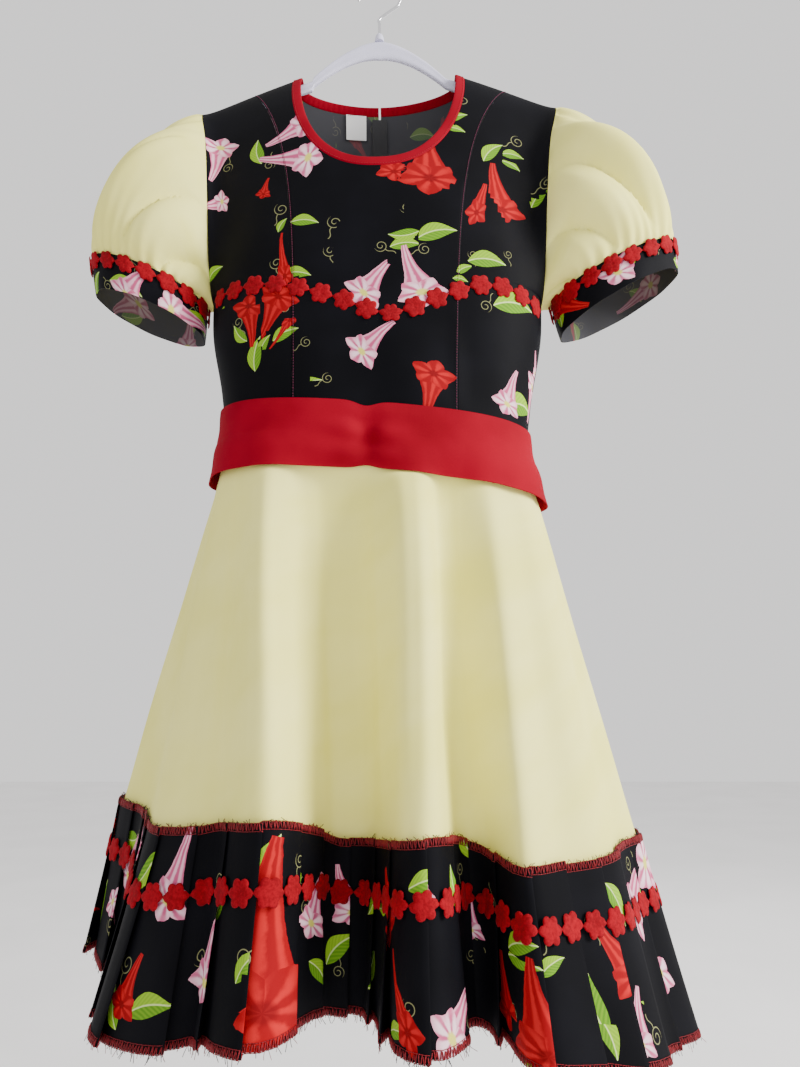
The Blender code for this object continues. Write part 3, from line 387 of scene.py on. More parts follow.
def skirt_point(u, down):
    """The skirt's cloth: straight lines from the waist ring to the folded seam line."""
    seam = fold_line(2, u)
    waist = waist_ring(np.radians(closed_curve(1, u)))
    return waist + (seam - waist) * np.asarray(down)[..., None]


def flounce_point(u, down):
    """The flounce's middle line: straight lines from the seam to the hem, and above the
    seam, where down is less than nothing, along the skirt."""
    seam = fold_line(2, u)
    hem = fold_line(5, u)
    down = np.asarray(down)
    waist = waist_ring(np.radians(closed_curve(1, u)))
    share = np.linalg.norm(hem - seam, axis=-1) / np.linalg.norm(seam - waist, axis=-1)
    drop = (seam - waist) * share[..., None]
    return seam + np.where(down[..., None] < 0, drop, hem - seam) * down[..., None]


def outward(u, down, surface):
    """The level direction out of the ring: the ring's own direction, turned a quarter."""
    step = 1e-3
    along = surface(u + step, down) - surface(u - step, down)
    normal = np.stack([along[..., 1], -along[..., 0], np.zeros_like(u)], axis=-1)
    return unit(normal)


def run_lengths(points):
    """Distances along a line of points, from its first."""
    return np.concatenate([[0], np.cumsum(np.linalg.norm(np.diff(points, axis=0), axis=1))])


def body_ring(angle, z):
    """A point round the body near the waist: the bodice above the seam, the skirt below."""
    width = half_width(np.maximum(z, WAIST_Z))
    depth = read_table(SECTION_Z, SECTION_DEPTH, np.maximum(z, WAIST_Z))
    above = np.stack([width * np.sin(angle), -depth * flat_arc(np.cos(angle)), z], axis=-1)
    table = np.linspace(0, len(FOLDS), 3000)
    u = np.interp((np.degrees(angle) + 180) % 360 - 180, closed_curve(1, table), table)
    top = waist_ring(angle)[..., 2]
    share = np.clip((top - z) / (top - closed_curve(4, u) * 0.001), 0, 1)
    return np.where((z > top)[..., None], above, skirt_point(u, share))


def armhole_loop(sign, turn):
    """Points of the armhole's edge: turn 0 at the shoulder, half a turn at the armpit,
    the front first, with heights by the cosine."""
    middle, half = (TIP_Z + PIT_Z) / 2, (TIP_Z - PIT_Z) / 2
    z = middle + half * np.cos(turn)
    tip = shoulder_z(sign * TIP_HALF) - TIP_Z
    z = z + tip * np.clip((z - PIT_Z) / (TIP_Z - PIT_Z), 0, 1)
    x = sign * half_width(z)
    y = -np.sign(np.sin(turn)) * cloth_depth(x, z)
    return np.stack([x + sign * SEAM_GAP, y, z], axis=-1)


def cuff_loop(sign, outer, inner, turn, swell=0.0):
    """Points of a cuff's edge: an ellipse between its outer and its inner end."""
    ends = np.array([outer, inner], dtype=float) * 0.001
    middle, half = ends.mean(axis=0), (ends[0] - ends[1]) / 2
    x = middle[0] + half[0] * np.cos(turn) * (1 + swell)
    z = middle[1] + half[1] * np.cos(turn) * (1 + swell)
    y = -CUFF_HALF_DEPTH * (1 + swell) * np.sin(turn)
    return np.stack([sign * x, y, z], axis=-1)


# Print motifs of the bodice's front: a flower's kind, x and z of the middle, half length in
# millimetres, and the way it points in degrees, 0 up and 90 to the right
FRONT_FLOWERS = (
    ("pink", -92, -292, 35, 103),
    ("pink", -94, -255, 30, 65),
    ("pink", -179, -275, 31, 15),
    ("pink", -180, -335, 19, 75),
    ("red", -118, -327, 13, 200),
    ("red", 16, -302, 26, 178),
    ("red", 54, -297, 46, 184),
    ("red", 129, -330, 37, 176),
    ("bud", 110, -340, 38, 205),
    ("pink", -2, -444, 30, 222),
    ("pink", 39, -438, 35, 166),
    ("pink", -2, -508, 28, 232),
    ("red", 54, -559, 31, 18),
    ("red", -128, -479, 28, 0),
    ("red", -104, -474, 31, 30),
    ("bud", -92, -495, 22, 42),
    ("bud", -94, -418, 32, 180),
    ("pink", 139, -551, 25, 205),
    ("pink", 188, -508, 14, 160),
    ("pink", 184, -546, 27, 20),
)
FRONT_LEAVES = (
    (-127, -276, 18, 350),
    (-73, -376, 15, 96),
    (-96, -377, 9, 30),
    (28, -390, 16, 262),
    (62, -391, 22, 74),
    (30, -405, 16, 84),
    (125, -279, 18, 40),
    (148, -278, 14, 88),
    (145, -292, 12, 112),
    (86, -236, 14, 60),
    (84, -254, 11, 100),
    (114, -418, 21, 88),
    (90, -429, 10, 60),
    (85, -441, 8, 100),
    (145, -462, 26, 84),
    (-179, -413, 13, 70),
    (-119, -515, 18, 10),
    (-111, -508, 12, 30),
    (-89, -500, 15, 66),
    (-140, -490, 13, 320),
)
FRONT_CURLS = (
    (9, -408, 13, 300),
    (45, -410, 13, 70),
    (-100, -362, 15, 20),
    (-100, -425, 14, 350),
    (150, -258, 16, 60),
    (91, -211, 16, 20),
    (113, -463, 13, 210),
    (99, -414, 10, 350),
    (-114, -293, 13, 190),
    (-93, -473, 11, 60),
    (-141, -482, 13, 330),
)

# Print motifs of the flounce's front: a flower's kind, x in front view and height below the seam as
# a share of the flounce's depth, half length, and the way it points
FLOUNCE_FLOWERS = (
    ("pink", -153, 0.16, 33, 200),
    ("pink", -119, 0.58, 31, 196),
    ("red", -77, 0.53, 74, 187),
    ("pink", -44, 0.37, 27, 205),
    ("pink", -22, 0.29, 27, 165),
    ("red", 108, 0.71, 29, 176),
    ("red", 122, 0.73, 43, 180),
    ("red", 195, 0.43, 33, 152),
    ("red", -187, 0.71, 23, 200),
    ("pink", 217, 0.78, 25, 200),
    ("pink", 82, 0.39, 19, 190),
)
FLOUNCE_LEAVES = (
    (-77, 0.13, 21, 20),
    (-198, 0.82, 16, 330),
    (-169, 0.81, 19, 80),
    (114, 0.40, 19, 70),
    (114, 0.48, 19, 88),
    (136, 0.47, 14, 60),
    (180, 0.68, 23, 350),
    (183, 0.82, 19, 160),
    (-260, 0.67, 25, 12),
    (24, 0.92, 14, 80),
    (-115, 0.35, 14, 40),
)
FLOUNCE_CURLS = (
    (-192, 0.65, 15, 10),
    (28, 0.80, 13, 10),
    (135, 0.31, 15, 30),
    (177, 0.29, 13, 350),
    (226, 0.07, 12, 340),
    (-56, 0.15, 12, 20),
)

# Fixed colours of the print
LEAF_RIB = (0.62, 0.74, 0.30)
PETAL_FACE = (0.86, 0.66, 0.72)
PETAL_EDGE = (0.60, 0.14, 0.26)
RED_THROAT = (0.16, 0.002, 0.004)
WRONG_SIDE_GREY = (0.075, 0.075, 0.085)
PATCH_BLUE_GREY = (0.06, 0.06, 0.09)

# Seeded print: kinds to draw from, spacing and half length in metres
LOOSE_PRINT = {
    "flower": (("pink", "red", "pink", "bud"), 0.094, 0.032),
    "leaf": (("leaf",), 0.086, 0.019),
    "curl": (("curl",), 0.094, 0.013),
}
MOTIF_CODES = {"pink": 1, "red": 2, "bud": 3, "leaf": 1, "curl": 1}
CODE_STEP = 4.0
MOTIF_REACH = 1.25


def scattered(kinds, low, high, spacing, half, seed):
    """A seeded layout of motifs: a jittered grid over a rectangle, every other row moved
    half a step, each motif with its own size and direction. Places in metres."""
    draw = np.random.default_rng(seed)
    width, height = high[0] - low[0], high[1] - low[1]
    across, up = max(1, round(width / spacing)), max(1, round(height / spacing))
    row, column = np.divmod(np.arange(across * up), across)
    x = low[0] + (column + 0.5 + 0.5 * (row % 2) - 0.25) * width / across
    y = low[1] + (row + 0.5) * height / up
    jitter = draw.uniform(-0.20, 0.20, (2, len(row))) * spacing
    size = half * draw.uniform(0.75, 1.15, len(row))
    turn = draw.uniform(0, 360, len(row))
    code = np.array([MOTIF_CODES[kinds[i]] for i in draw.integers(0, len(kinds), len(row))])
    return np.stack([x + jitter[0], y + jitter[1], size, turn, code], axis=1)


def listed(layer, table):
    """A given table of motifs as numbers: x, height, half length in metres, turn, code.
    A flower's row starts with its kind; a leaf's or a curl's kind is its layer."""
    rows = [(*([layer] * (5 - len(row))), *row) for row in table]
    return np.array([(x * 0.001, z * 0.001, half * 0.001, turn, MOTIF_CODES[kind])
                     for kind, x, z, half, turn in rows], dtype=float)


def motif_coordinates(middle, corner, motifs):
    """Coordinates of each face corner in its face's motif, where 1 is the motif's half
    length. A face belongs to the motif that is nearest in its own lengths, and the motif's
    code is added to the first coordinate in steps, so one map holds both."""
    gap = middle[:, None] - motifs[None, :, :2]
    near = np.linalg.norm(gap, axis=2) / motifs[:, 2]
    owner = near.argmin(axis=1)
    chosen = motifs[owner]
    far = near[np.arange(len(near)), owner] > MOTIF_REACH
    turn = np.radians(chosen[:, 3])[:, None]
    local = (corner - chosen[:, None, :2]) / chosen[:, None, 2:3]
    across = local[..., 0] * np.cos(turn) - local[..., 1] * np.sin(turn)
    along = local[..., 0] * np.sin(turn) + local[..., 1] * np.cos(turn)
    code = np.where(far, 0, chosen[:, 4])[:, None]
    return np.stack([across + CODE_STEP * code, along], axis=-1)


def grid_faces(rows, columns, closed=False):
    """The quads of a grid of points numbered row by row."""
    spans = columns if closed else columns - 1
    r, c = np.meshgrid(np.arange(rows - 1), np.arange(spans), indexing="ij")
    r, c = r.ravel(), c.ravel()
    ahead = (c + 1) % columns
    first, after = r * columns, (r + 1) * columns
    return np.stack([first + c, first + ahead, after + ahead, after + c], axis=1)


def grid_normals(grid, closed):
    """Unit normals of a grid: the cross product of its two directions at each point, on the
    side that looks away from the dress's axis, or from a ring's own middle."""
    across = np.gradient(grid, axis=0)
    if closed:
        ahead = np.roll(grid, -1, axis=1) - np.roll(grid, 1, axis=1)
    else:
        ahead = np.gradient(grid, axis=1)
    normal = unit(np.cross(ahead, across))
    away = grid - (grid.mean(axis=1, keepdims=True) if closed else 0.0)
    away = away * ((1.0, 1.0, 1.0) if closed else (1.0, 1.0, 0.0))
    return normal * np.sign((normal * away).sum())


def place_mesh(name, points, faces, materials, smooth=True, sheets=None, marks=None):
    """A mesh object at the origin from arrays of points and faces. sheets names UV maps
    and gives a coordinate for each corner, marks gives each face's material."""
    mesh = bpy.data.meshes.new(name)
    mesh.from_pydata(points, [], faces if isinstance(faces, list) else faces.tolist())
    for material in materials:
        mesh.materials.append(material)
    if marks is not None:
        mesh.polygons.foreach_set("material_index", np.asarray(marks, dtype=np.int32))
    for sheet, values in (sheets or {}).items():
        layer = mesh.uv_layers.new(name=sheet)
        layer.data.foreach_set("uv", np.ascontiguousarray(values, dtype=np.float32).ravel())
    mesh.polygons.foreach_set("use_smooth", np.full(len(mesh.polygons), smooth))
    mesh.update()
    piece = bpy.data.objects.new(name, mesh)
    bpy.context.scene.collection.objects.link(piece)
    return piece


def cloth_wall(name, grid, thickness, materials, flat, motifs=None, closed=False):
    """A thin closed shell: the grid's points moved half a thickness to both sides along
    the normal, with rims. materials are the right and the wrong side; flat gives each
    point's place in the cut cloth, in metres, and motifs the print's three layers."""
    rows, columns, _ = grid.shape
    normal = grid_normals(grid, closed)
    outer = grid + normal * (thickness / 2)
    inner = grid - normal * (thickness / 2)
    count = rows * columns
    quads = grid_faces(rows, columns, closed)
    points = np.concatenate([outer.reshape(-1, 3), inner.reshape(-1, 3)])
    index = np.arange(count).reshape(rows, columns)
    rims = [rim_quads(index[0], count, closed), rim_quads(index[-1][::-1], count, closed)]
    if not closed:
        rims += [rim_quads(index[::-1, 0], count, False), rim_quads(index[:, -1], count, False)]
    faces = np.concatenate([quads, quads[:, ::-1] + count, *rims])
    corners = corner_places(flat, faces % count, closed, columns)
    marks = np.zeros(len(faces), dtype=int)
    marks[len(quads):2 * len(quads)] = len(materials) - 1
    sheets = {"cloth": corners}
    middle = corners.mean(axis=1)
    for layer, table in (motifs or {}).items():
        sheets[layer] = motif_coordinates(middle, corners, table)
    piece = place_mesh(name, points, faces, materials, True, sheets, marks)
    turn_out(piece, 60)
    return piece


def rim_quads(edge, count, closed):
    """The quads that join the two sides of a wall along one edge of its grid."""
    start = edge if closed else edge[:-1]
    end = np.roll(edge, -1) if closed else edge[1:]
    return np.stack([end, start, start + count, end + count], axis=1)


def corner_places(flat, faces, closed, columns):
    """Each face corner's place in the cut cloth. On a closed ring the last column's faces
    go on past the end instead of back to the start."""
    places = flat.reshape(-1, 2)[faces].copy()
    if closed:
        ring = (flat[..., 0].max() - flat[..., 0].min()) * (columns / (columns - 1))
        column = faces % columns
        wraps = (column == 0) & (column.max(axis=1, keepdims=True) == columns - 1)
        places[..., 0] += np.where(wraps, ring, 0)
    return places


def turn_out(piece, sharp=None):
    """Turns a closed mesh's faces outwards, so that the volume summed over them is positive,
    and shades the edges sharp that turn by more than an angle in degrees."""
    work = bmesh.new()
    work.from_mesh(piece.data)
    inside_out = work.calc_volume(signed=True) <= 0
    work.free()
    if inside_out:
        piece.data.flip_normals()
    if sharp is not None:
        piece.data.set_sharp_from_angle(angle=math.radians(sharp))


def carried(name, path, side, up, section, materials):
    """A closed profile carried along a path: at each point of the path the section's
    (side, up) offsets are laid along that point's own two directions."""
    path, side, up = (np.asarray(a, dtype=float) for a in (path, side, up))
    rings = path[:, None] + section[..., 0:1] * side[:, None] + section[..., 1:2] * up[:, None]
    count, around, _ = rings.shape
    faces = grid_faces(count, around, True).tolist()
    faces.append(list(range(around))[::-1])
    faces.append([(count - 1) * around + i for i in range(around)])
    piece = place_mesh(name, rings.reshape(-1, 3), faces, materials)
    turn_out(piece, 50)
    return piece


def on_dress(piece, nodes=()):
    """Says that a piece moves with the dress and what it replaces."""
    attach(piece, BODY)
    if nodes:
        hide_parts(*nodes)
    return piece


class Value:
    """A number on a shader socket. Python's operators on it add the Math nodes."""

    def __init__(self, nodes, socket):
        self.nodes = nodes
        self.socket = socket

    def maths(self, operation, *values):
        """This value and up to two more through one Math node."""
        return self.nodes.add("ShaderNodeMath", {"operation": operation}, dict(enumerate((self, *values))))

    def flipped(self, operation, first):
        """The same with this value second."""
        return self.nodes.add("ShaderNodeMath", {"operation": operation}, {0: first, 1: self})

    def __add__(self, other):
        return self.maths("ADD", other)

    def __radd__(self, other):
        return self.maths("ADD", other)

    def __sub__(self, other):
        return self.maths("SUBTRACT", other)

    def __rsub__(self, other):
        return self.flipped("SUBTRACT", other)

    def __mul__(self, other):
        return self.maths("MULTIPLY", other)

    def __rmul__(self, other):
        return self.maths("MULTIPLY", other)

    def __truediv__(self, other):
        return self.maths("DIVIDE", other)

    def __rtruediv__(self, other):
        return self.flipped("DIVIDE", other)

    def __pow__(self, other):
        return self.maths("POWER", other)

    def __neg__(self):
        return self.maths("MULTIPLY", -1.0)

    def __abs__(self):
        return self.maths("ABSOLUTE")

    def __lt__(self, other):
        return self.maths("LESS_THAN", other)

    def __gt__(self, other):
        return self.maths("GREATER_THAN", other)

    def sine(self):
        return self.maths("SINE")

    def floor(self):
        return self.maths("FLOOR")

    def fraction(self):
        return self.maths("FRACT")

    def turn_from(self, other):
        return self.maths("ARCTAN2", other)

    def highest(self, other):
        return self.maths("MAXIMUM", other)

    def ramped(self, low, high):
        """0 below low, 1 above high and smooth between, in either order."""
        settings = {"interpolation_type": "SMOOTHSTEP"}
        return self.nodes.add("ShaderNodeMapRange", settings, {0: self, 1: low, 2: high, 3: 0.0, 4: 1.0})


class Nodes:
    """A material's node tree, with one method that adds any node."""

    def __init__(self, name):
        self.material = bpy.data.materials.new(name)
        self.material.use_nodes = True
        self.tree = self.material.node_tree
        self.shader = self.tree.nodes["Principled BSDF"]

    def add(self, kind, settings=None, inputs=None, output=0):
        """A node with its settings, then its sockets' values or links; returns an output."""
        node = self.tree.nodes.new(kind)
        for name, value in (settings or {}).items():
            if name == "stops":
                self.set_stops(node.color_ramp, value)
            else:
                setattr(node, name, value)
        for name, value in (inputs or {}).items():
            self.feed(node.inputs[name], value)
        return Value(self, node.outputs[output])

    def set_stops(self, ramp, stops):
        """A colour ramp's stops, as places and colours."""
        while len(ramp.elements) < len(stops):
            ramp.elements.new(0.5)
        for element, (place, colour) in zip(ramp.elements, stops):
            element.position = place
            element.color = (*colour, 1.0)

    def feed(self, socket, value):
        """Links a value to a socket, or sets the socket's own number or colour."""
        if isinstance(value, Value):
            self.tree.links.new(value.socket, socket)
        elif isinstance(value, (tuple, list)) and socket.type == "RGBA" and len(value) == 3:
            socket.default_value = (*value, 1.0)
        else:
            socket.default_value = value

    def mix(self, factor, first, second):
        """One colour over another by a factor."""
        return self.add("ShaderNodeMix", {"data_type": "RGBA"}, {0: factor, 6: first, 7: second}, 2)

    def map_of(self, name):
        """The two coordinates of a UV map."""
        return self.split(self.sheet_place(name), (0, 1))

    def sheet_place(self, name):
        """A UV map's place as one vector."""
        return self.add("ShaderNodeUVMap", {"uv_map": name})

    def object_place(self):
        """The place in the piece's own frame."""
        return self.add("ShaderNodeTexCoord", None, None, 3)

    def split(self, vector, axes):
        """Some of a vector's coordinates, by their numbers."""
        return tuple(self.add("ShaderNodeSeparateXYZ", None, {0: vector}, k) for k in axes)

    def stretched(self, vector, scale):
        """A vector with each coordinate times its own scale."""
        return self.add("ShaderNodeMapping", None, {0: vector, 3: scale})

    def noise(self, vector, scale, detail=2.0, rough=0.5):
        """A soft random number about one half."""
        inputs = {"Vector": vector, "Scale": scale, "Detail": detail, "Roughness": rough}
        return self.add("ShaderNodeTexNoise", None, inputs)

    def bump(self, height, distance, strength=1.0):
        """Relief from a height between 0 and 1, a distance deep, into the shader's normal."""
        inputs = {"Height": height, "Distance": distance, "Strength": strength}
        self.feed(self.shader.inputs["Normal"], self.add("ShaderNodeBump", None, inputs))

    def set(self, **values):
        """Numbers, colours and links of the shader's own sockets; underlines stand for spaces."""
        for name, value in values.items():
            self.feed(self.shader.inputs[name.replace("_", " ")], value)
        return self.material


def both_by(factor, first, second):
    """One number or another by a factor: first plus the factor's share of the step."""
    return first + factor * (second - first)


def weave(u, v, thread):
    """A plain weave's height: the product of two sines that cross, and a slanting sine of
    half as many turns."""
    turns = 2 * math.pi / thread
    checks = (u * turns).sine() * (v * turns).sine()
    return 0.5 + 0.25 * checks + 0.12 * ((u + v) * (turns * 0.5)).sine()


def trumpet(u, v, narrow, wander):
    """A lily from the side: a funnel and an open mouth. The funnel's half width is 0.09 at
    the stem and grows with the height's fourth power. The mouth is a star of five petals
    seen at a slant: its radius falls from a petal's tip to the notch as a triangle wave of
    the angle. Returns the ink, the mouth's star, its streaks, its petals' edges and the
    throat, where narrow shrinks the width and wander bends the outlines."""
    bent = u + 0.08 * (v * 2.2).sine() + 0.06 * (wander - 0.5)
    high = ((v + 1) * 0.62).highest(0.0)
    wide = narrow * (0.08 + 0.26 * high + 0.38 * high ** 4)
    funnel = (abs(bent) < wide) * (v < 0.60) * (v > -1.0)
    across, along = bent / (0.78 * narrow), (v - 0.56) / 0.46
    radius = (across * across + along * along) ** 0.5
    angle = across.turn_from(along) * (5 / (2 * math.pi)) + 0.08 * (wander - 0.5)
    petal = 1 - abs((angle + 0.5).fraction() - 0.5) * 2
    reach = 0.62 + 0.38 * petal ** 0.8 + 0.14 * (wander - 0.5)
    star = radius < reach
    streaks = ((angle * 9.0).sine() * star + ((bent / wide) * 8.0).sine() * (1 - star)) * 0.5 + 0.5
    border = (radius / reach).ramped(0.62, 1.0) * star + (abs(bent) / wide).ramped(0.45, 1.0) * (1 - star)
    throat = radius.ramped(0.30, 0.14)
    return funnel.highest(star), star, streaks, border, throat


def leaf(u, v, wander):
    """A pointed leaf on a bent midrib: its half width is a parabola sharpened at the tip.
    Returns the ink, its midrib, its slanting veins and which half a place is in."""
    bent = u + 0.22 * (1 - v * v) + 0.04 * (wander - 0.5)
    wide = 0.44 * (1 - v * v) * (1.0 - 0.35 * v)
    inside = (abs(bent) < wide) * (abs(v) < 0.99)
    rib = abs(bent).ramped(0.045, 0.015)
    veins = ((v - abs(bent) * 1.3) * 26.0).sine() * 0.5 + 0.5
    return inside, rib, veins, bent > 0.0


def curl(u, v):
    """A tendril: a spiral whose radius grows with its turn, on a short waving stalk."""
    up = v - 0.35
    radius = (u * u + up * up) ** 0.5
    turn = u.turn_from(up) / (2 * math.pi)
    line = abs((radius * 3.4 - turn).fraction() - 0.5)
    spiral = (line > 0.40) * (radius < 0.52) * (radius > 0.10)
    stalk = (abs(u - 0.10 * (v * 6.0).sine()) < 0.032) * (v < -0.12) * (v > -1.0)
    return spiral.highest(stalk)


def motif_place(nodes, layer):
    """A print layer's local coordinates and its motif's code."""
    u, v = nodes.map_of(layer)
    code = ((u + CODE_STEP / 2) / CODE_STEP).floor()
    return u - code * CODE_STEP, v, code


def shades(*names):
    """Colours of the settings as tuples."""
    return [tuple(getattr(bpy.context.scene.dress_colours, name)) for name in names]


def printed_colour(nodes, ground):
    """The floral print over a ground colour: tendrils, then leaves, then lilies. Returns
    the colour and the cloth's own place."""
    tendril, leaf_light, leaf_dark, pollen = shades("tendril", "leaf_light", "leaf_dark", "throat")
    lily_deep, lily_pale, dark_red, light_red = shades("lily_deep", "lily_pale", "trumpet_deep", "trumpet")
    cloth = nodes.sheet_place("cloth")
    wander = nodes.noise(cloth, 90.0, 3.0, 0.6)
    u, v, code = motif_place(nodes, "curl")
    ink = curl(u, v) * (code > 0.5)
    colour = nodes.mix(ink, ground, tendril)
    u, v, code = motif_place(nodes, "leaf")
    inside, rib, veins, half = leaf(u, v, wander)
    green = nodes.mix(both_by(half, 0.15, 0.75) + 0.35 * (veins - 0.5), leaf_light, leaf_dark)
    green = nodes.mix(rib * 0.8, green, LEAF_RIB)
    colour = nodes.mix(inside * (code > 0.5), colour, green)
    u, v, code = motif_place(nodes, "flower")
    bud, red = code > 2.5, code > 1.5
    inside, star, streaks, border, throat = trumpet(u, v, both_by(bud, 1.0, 0.40), wander)
    fine = streaks * 0.5 + wander * 0.5
    pink = nodes.mix(fine.ramped(0.30, 0.70), lily_deep, lily_pale)
    pink = nodes.mix(star * fine.ramped(0.20, 0.60) * 0.6, pink, PETAL_FACE)
    pink = nodes.mix(border * 0.45, pink, PETAL_EDGE)
    pink = nodes.mix(throat, pink, pollen)
    scarlet = nodes.mix(fine.ramped(0.35, 0.75), dark_red, light_red)
    scarlet = nodes.mix(border * 0.5, scarlet, dark_red)
    scarlet = nodes.mix(throat * 0.8, scarlet, RED_THROAT)
    return nodes.mix(inside * (code > 0.5), colour, nodes.mix(red, pink, scarlet)), cloth


def printed_crepe(name, faded=False):
    """Black crepe with the print; its wrong side is grey with the print showing through."""
    nodes = Nodes(name)
    colour, cloth = printed_colour(nodes, *shades("black"))
    if faded:
        colour = nodes.mix(0.72, colour, WRONG_SIDE_GREY)
    else:
        # Faint paler blue-grey patches at random over the black ground.
        soft = nodes.noise(cloth, 14.0, 2.0)
        colour = nodes.mix(soft.ramped(0.35, 0.75) * 0.03, colour, PATCH_BLUE_GREY)
    u, v = nodes.map_of("cloth")
    height = weave(u, v, 0.0007) + 0.5 * nodes.noise(cloth, 900.0, 1.0)
    nodes.bump(height, 0.00010, 0.6)
    return nodes.set(Base_Color=colour, Roughness=0.66, Specular_IOR_Level=0.06)


def plain_crepe(name, colour, deep, pale):
    """Plain dyed cloth: a soft cloudiness between a deeper and a paler shade, a fine weave
    and the faint creases that wear and hanging leave."""
    nodes = Nodes(name)
    cloth = nodes.sheet_place("cloth")
    cloud = nodes.noise(cloth, 9.0, 3.0, 0.55)
    fleck = nodes.noise(cloth, 600.0, 2.0)
    shade = nodes.mix(cloud.ramped(0.30, 0.70), deep, pale)
    shade = nodes.mix(fleck.ramped(0.35, 0.75) * 0.25, shade, colour)
    u, v = nodes.map_of("cloth")
    crease = nodes.noise(nodes.stretched(cloth, (1.0, 0.25, 1.0)), 28.0, 3.0, 0.5)
    height = weave(u, v, 0.0008) * 0.10 + crease * 0.9
    nodes.bump(height, 0.0009, 0.55)
    return nodes.set(Base_Color=shade, Roughness=0.80, Specular_IOR_Level=0.06)


def velvet(name, deep, pale):
    """Flocked tape: a short nap with darker and lighter strokes, the darker ones in the nap's hollows as
    painted shade, and a strong sheen.
    """
    nodes = Nodes(name)
    place = nodes.object_place()
    nap = nodes.noise(place, 420.0, 3.0, 0.6)
    patch = nodes.noise(place, 55.0, 2.0)
    # The colour follows the nap's relief, deeper where it is low: painted shade in the nap; the larger
    # patches vary at random.
    shade = nodes.mix((nap * 0.6 + patch * 0.4).ramped(0.35, 0.65), deep, pale)
    nodes.bump(nap, 0.0004, 0.7)
    return nodes.set(Base_Color=shade, Roughness=0.92, Sheen_Weight=0.06, Sheen_Roughness=0.35,
                     Sheen_Tint=(0.9, 0.10, 0.12, 1.0), Specular_IOR_Level=0.15)


def thread(name, colour, deep):
    """Spun thread: fine stripes of light and dark along its twist, darker where the twist's relief is low:
    painted shade.
    """
    nodes = Nodes(name)
    place = nodes.object_place()
    twist = nodes.noise(place, 1500.0, 1.0)
    nodes.bump(twist, 0.0001, 0.6)
    # The colour is deeper where the twist's relief is low: painted shade in its hollows.
    return nodes.set(Base_Color=nodes.mix(twist.ramped(0.35, 0.65), deep, colour), Roughness=0.6,
                     Specular_IOR_Level=0.35)


def moulded_plastic(name, colour):
    """Satin plastic: a faint flow marking and small scuffs that change its gloss."""
    nodes = Nodes(name)
    place = nodes.object_place()
    flow = nodes.noise(place, 30.0, 3.0)
    scuff = nodes.noise(place, 700.0, 2.0)
    shade = nodes.mix(flow.ramped(0.3, 0.7), colour, tuple(min(1.0, 1.08 * c) for c in colour))
    nodes.bump(scuff, 0.00005, 0.4)
    return nodes.set(Base_Color=shade, Roughness=0.26 + 0.20 * scuff.ramped(0.4, 0.8), Specular_IOR_Level=0.5)


def polished_wire(name, colour, rough):
    """Plated metal with fine scratches along it."""
    nodes = Nodes(name)
    place = nodes.object_place()
    scratch = nodes.noise(nodes.stretched(place, (1.0, 1.0, 0.1)), 2500.0, 1.0)
    nodes.bump(scratch, 0.00002, 0.3)
    return nodes.set(Base_Color=colour, Metallic=1.0, Roughness=rough + 0.12 * scratch.ramped(0.45, 0.8))


def woven_satin(name, colour):
    """A label's satin: fine ribs across it and a soft shine."""
    nodes = Nodes(name)
    place = nodes.object_place()
    across, up = nodes.split(place, (0, 2))
    ribs = (up * (2 * math.pi / 0.0006)).sine() * 0.5 + 0.5
    warp = (across * (2 * math.pi / 0.0004)).sine() * 0.5 + 0.5
    nodes.bump(ribs * 0.7 + warp * 0.3, 0.00008, 0.6)
    shade = nodes.mix(ribs * 0.25, colour, tuple(0.82 * c for c in colour))
    return nodes.set(Base_Color=shade, Roughness=0.45, Sheen_Weight=0.2)


def zip_cloth(name):
    """Black herringbone zip tape, darker in the weave's hollows: painted shade."""
    nodes = Nodes(name)
    place = nodes.object_place()
    across, up = nodes.split(place, (0, 2))
    slant = ((abs(across) + up) * (2 * math.pi / 0.0012)).sine() * 0.5 + 0.5
    nodes.bump(slant, 0.00015, 0.7)
    # The colour is lighter on the herringbone's raised slant and darker in its hollows: painted shade.
    return nodes.set(Base_Color=nodes.mix(slant, (0.008, 0.008, 0.010), (0.03, 0.03, 0.034)), Roughness=0.75)


FINISHES = {
    "print": lambda name: printed_crepe(name),
    "print_wrong_side": lambda name: printed_crepe(name, faded=True),
    "yellow_crepe": lambda name: plain_crepe(name, *shades("yellow", "yellow_deep", "yellow_pale")),
    "red_crepe": lambda name: plain_crepe(name, *shades("red", "red_deep", "red_pale")),
    "red_velvet": lambda name: velvet(name, *shades("velvet_deep", "velvet")),
    "seam_thread": lambda name: thread(name, *shades("seam_thread"), (0.05, 0.01, 0.03)),
    "red_thread": lambda name: thread(name, (0.42, 0.006, 0.016), (0.20, 0.004, 0.010)),
    "edge_thread": lambda name: thread(name, *shades("edge_thread"), (0.09, 0.0006, 0.003)),
    "black_thread": lambda name: thread(name, (0.014, 0.010, 0.014), (0.006, 0.005, 0.007)),
    "lilac_plastic": lambda name: moulded_plastic(name, *shades("plastic")),
    "chrome_wire": lambda name: polished_wire(name, (0.72, 0.72, 0.74), 0.14),
    "dark_metal": lambda name: polished_wire(name, (0.10, 0.10, 0.11), 0.30),
    "label_satin": lambda name: woven_satin(name, (0.80, 0.80, 0.80)),
    "zip_cloth": lambda name: zip_cloth(name),
    "zip_nylon": lambda name: moulded_plastic(name, (0.012, 0.012, 0.014)),
}


def finish(name):
    """A material by name, made when it is first asked for."""
    return bpy.data.materials.get(name) or FINISHES[name](name)


def both_sides(name):
    """The finishes of a printed cloth's right and wrong side."""
    return [finish(name), finish(f"{name}_wrong_side")]


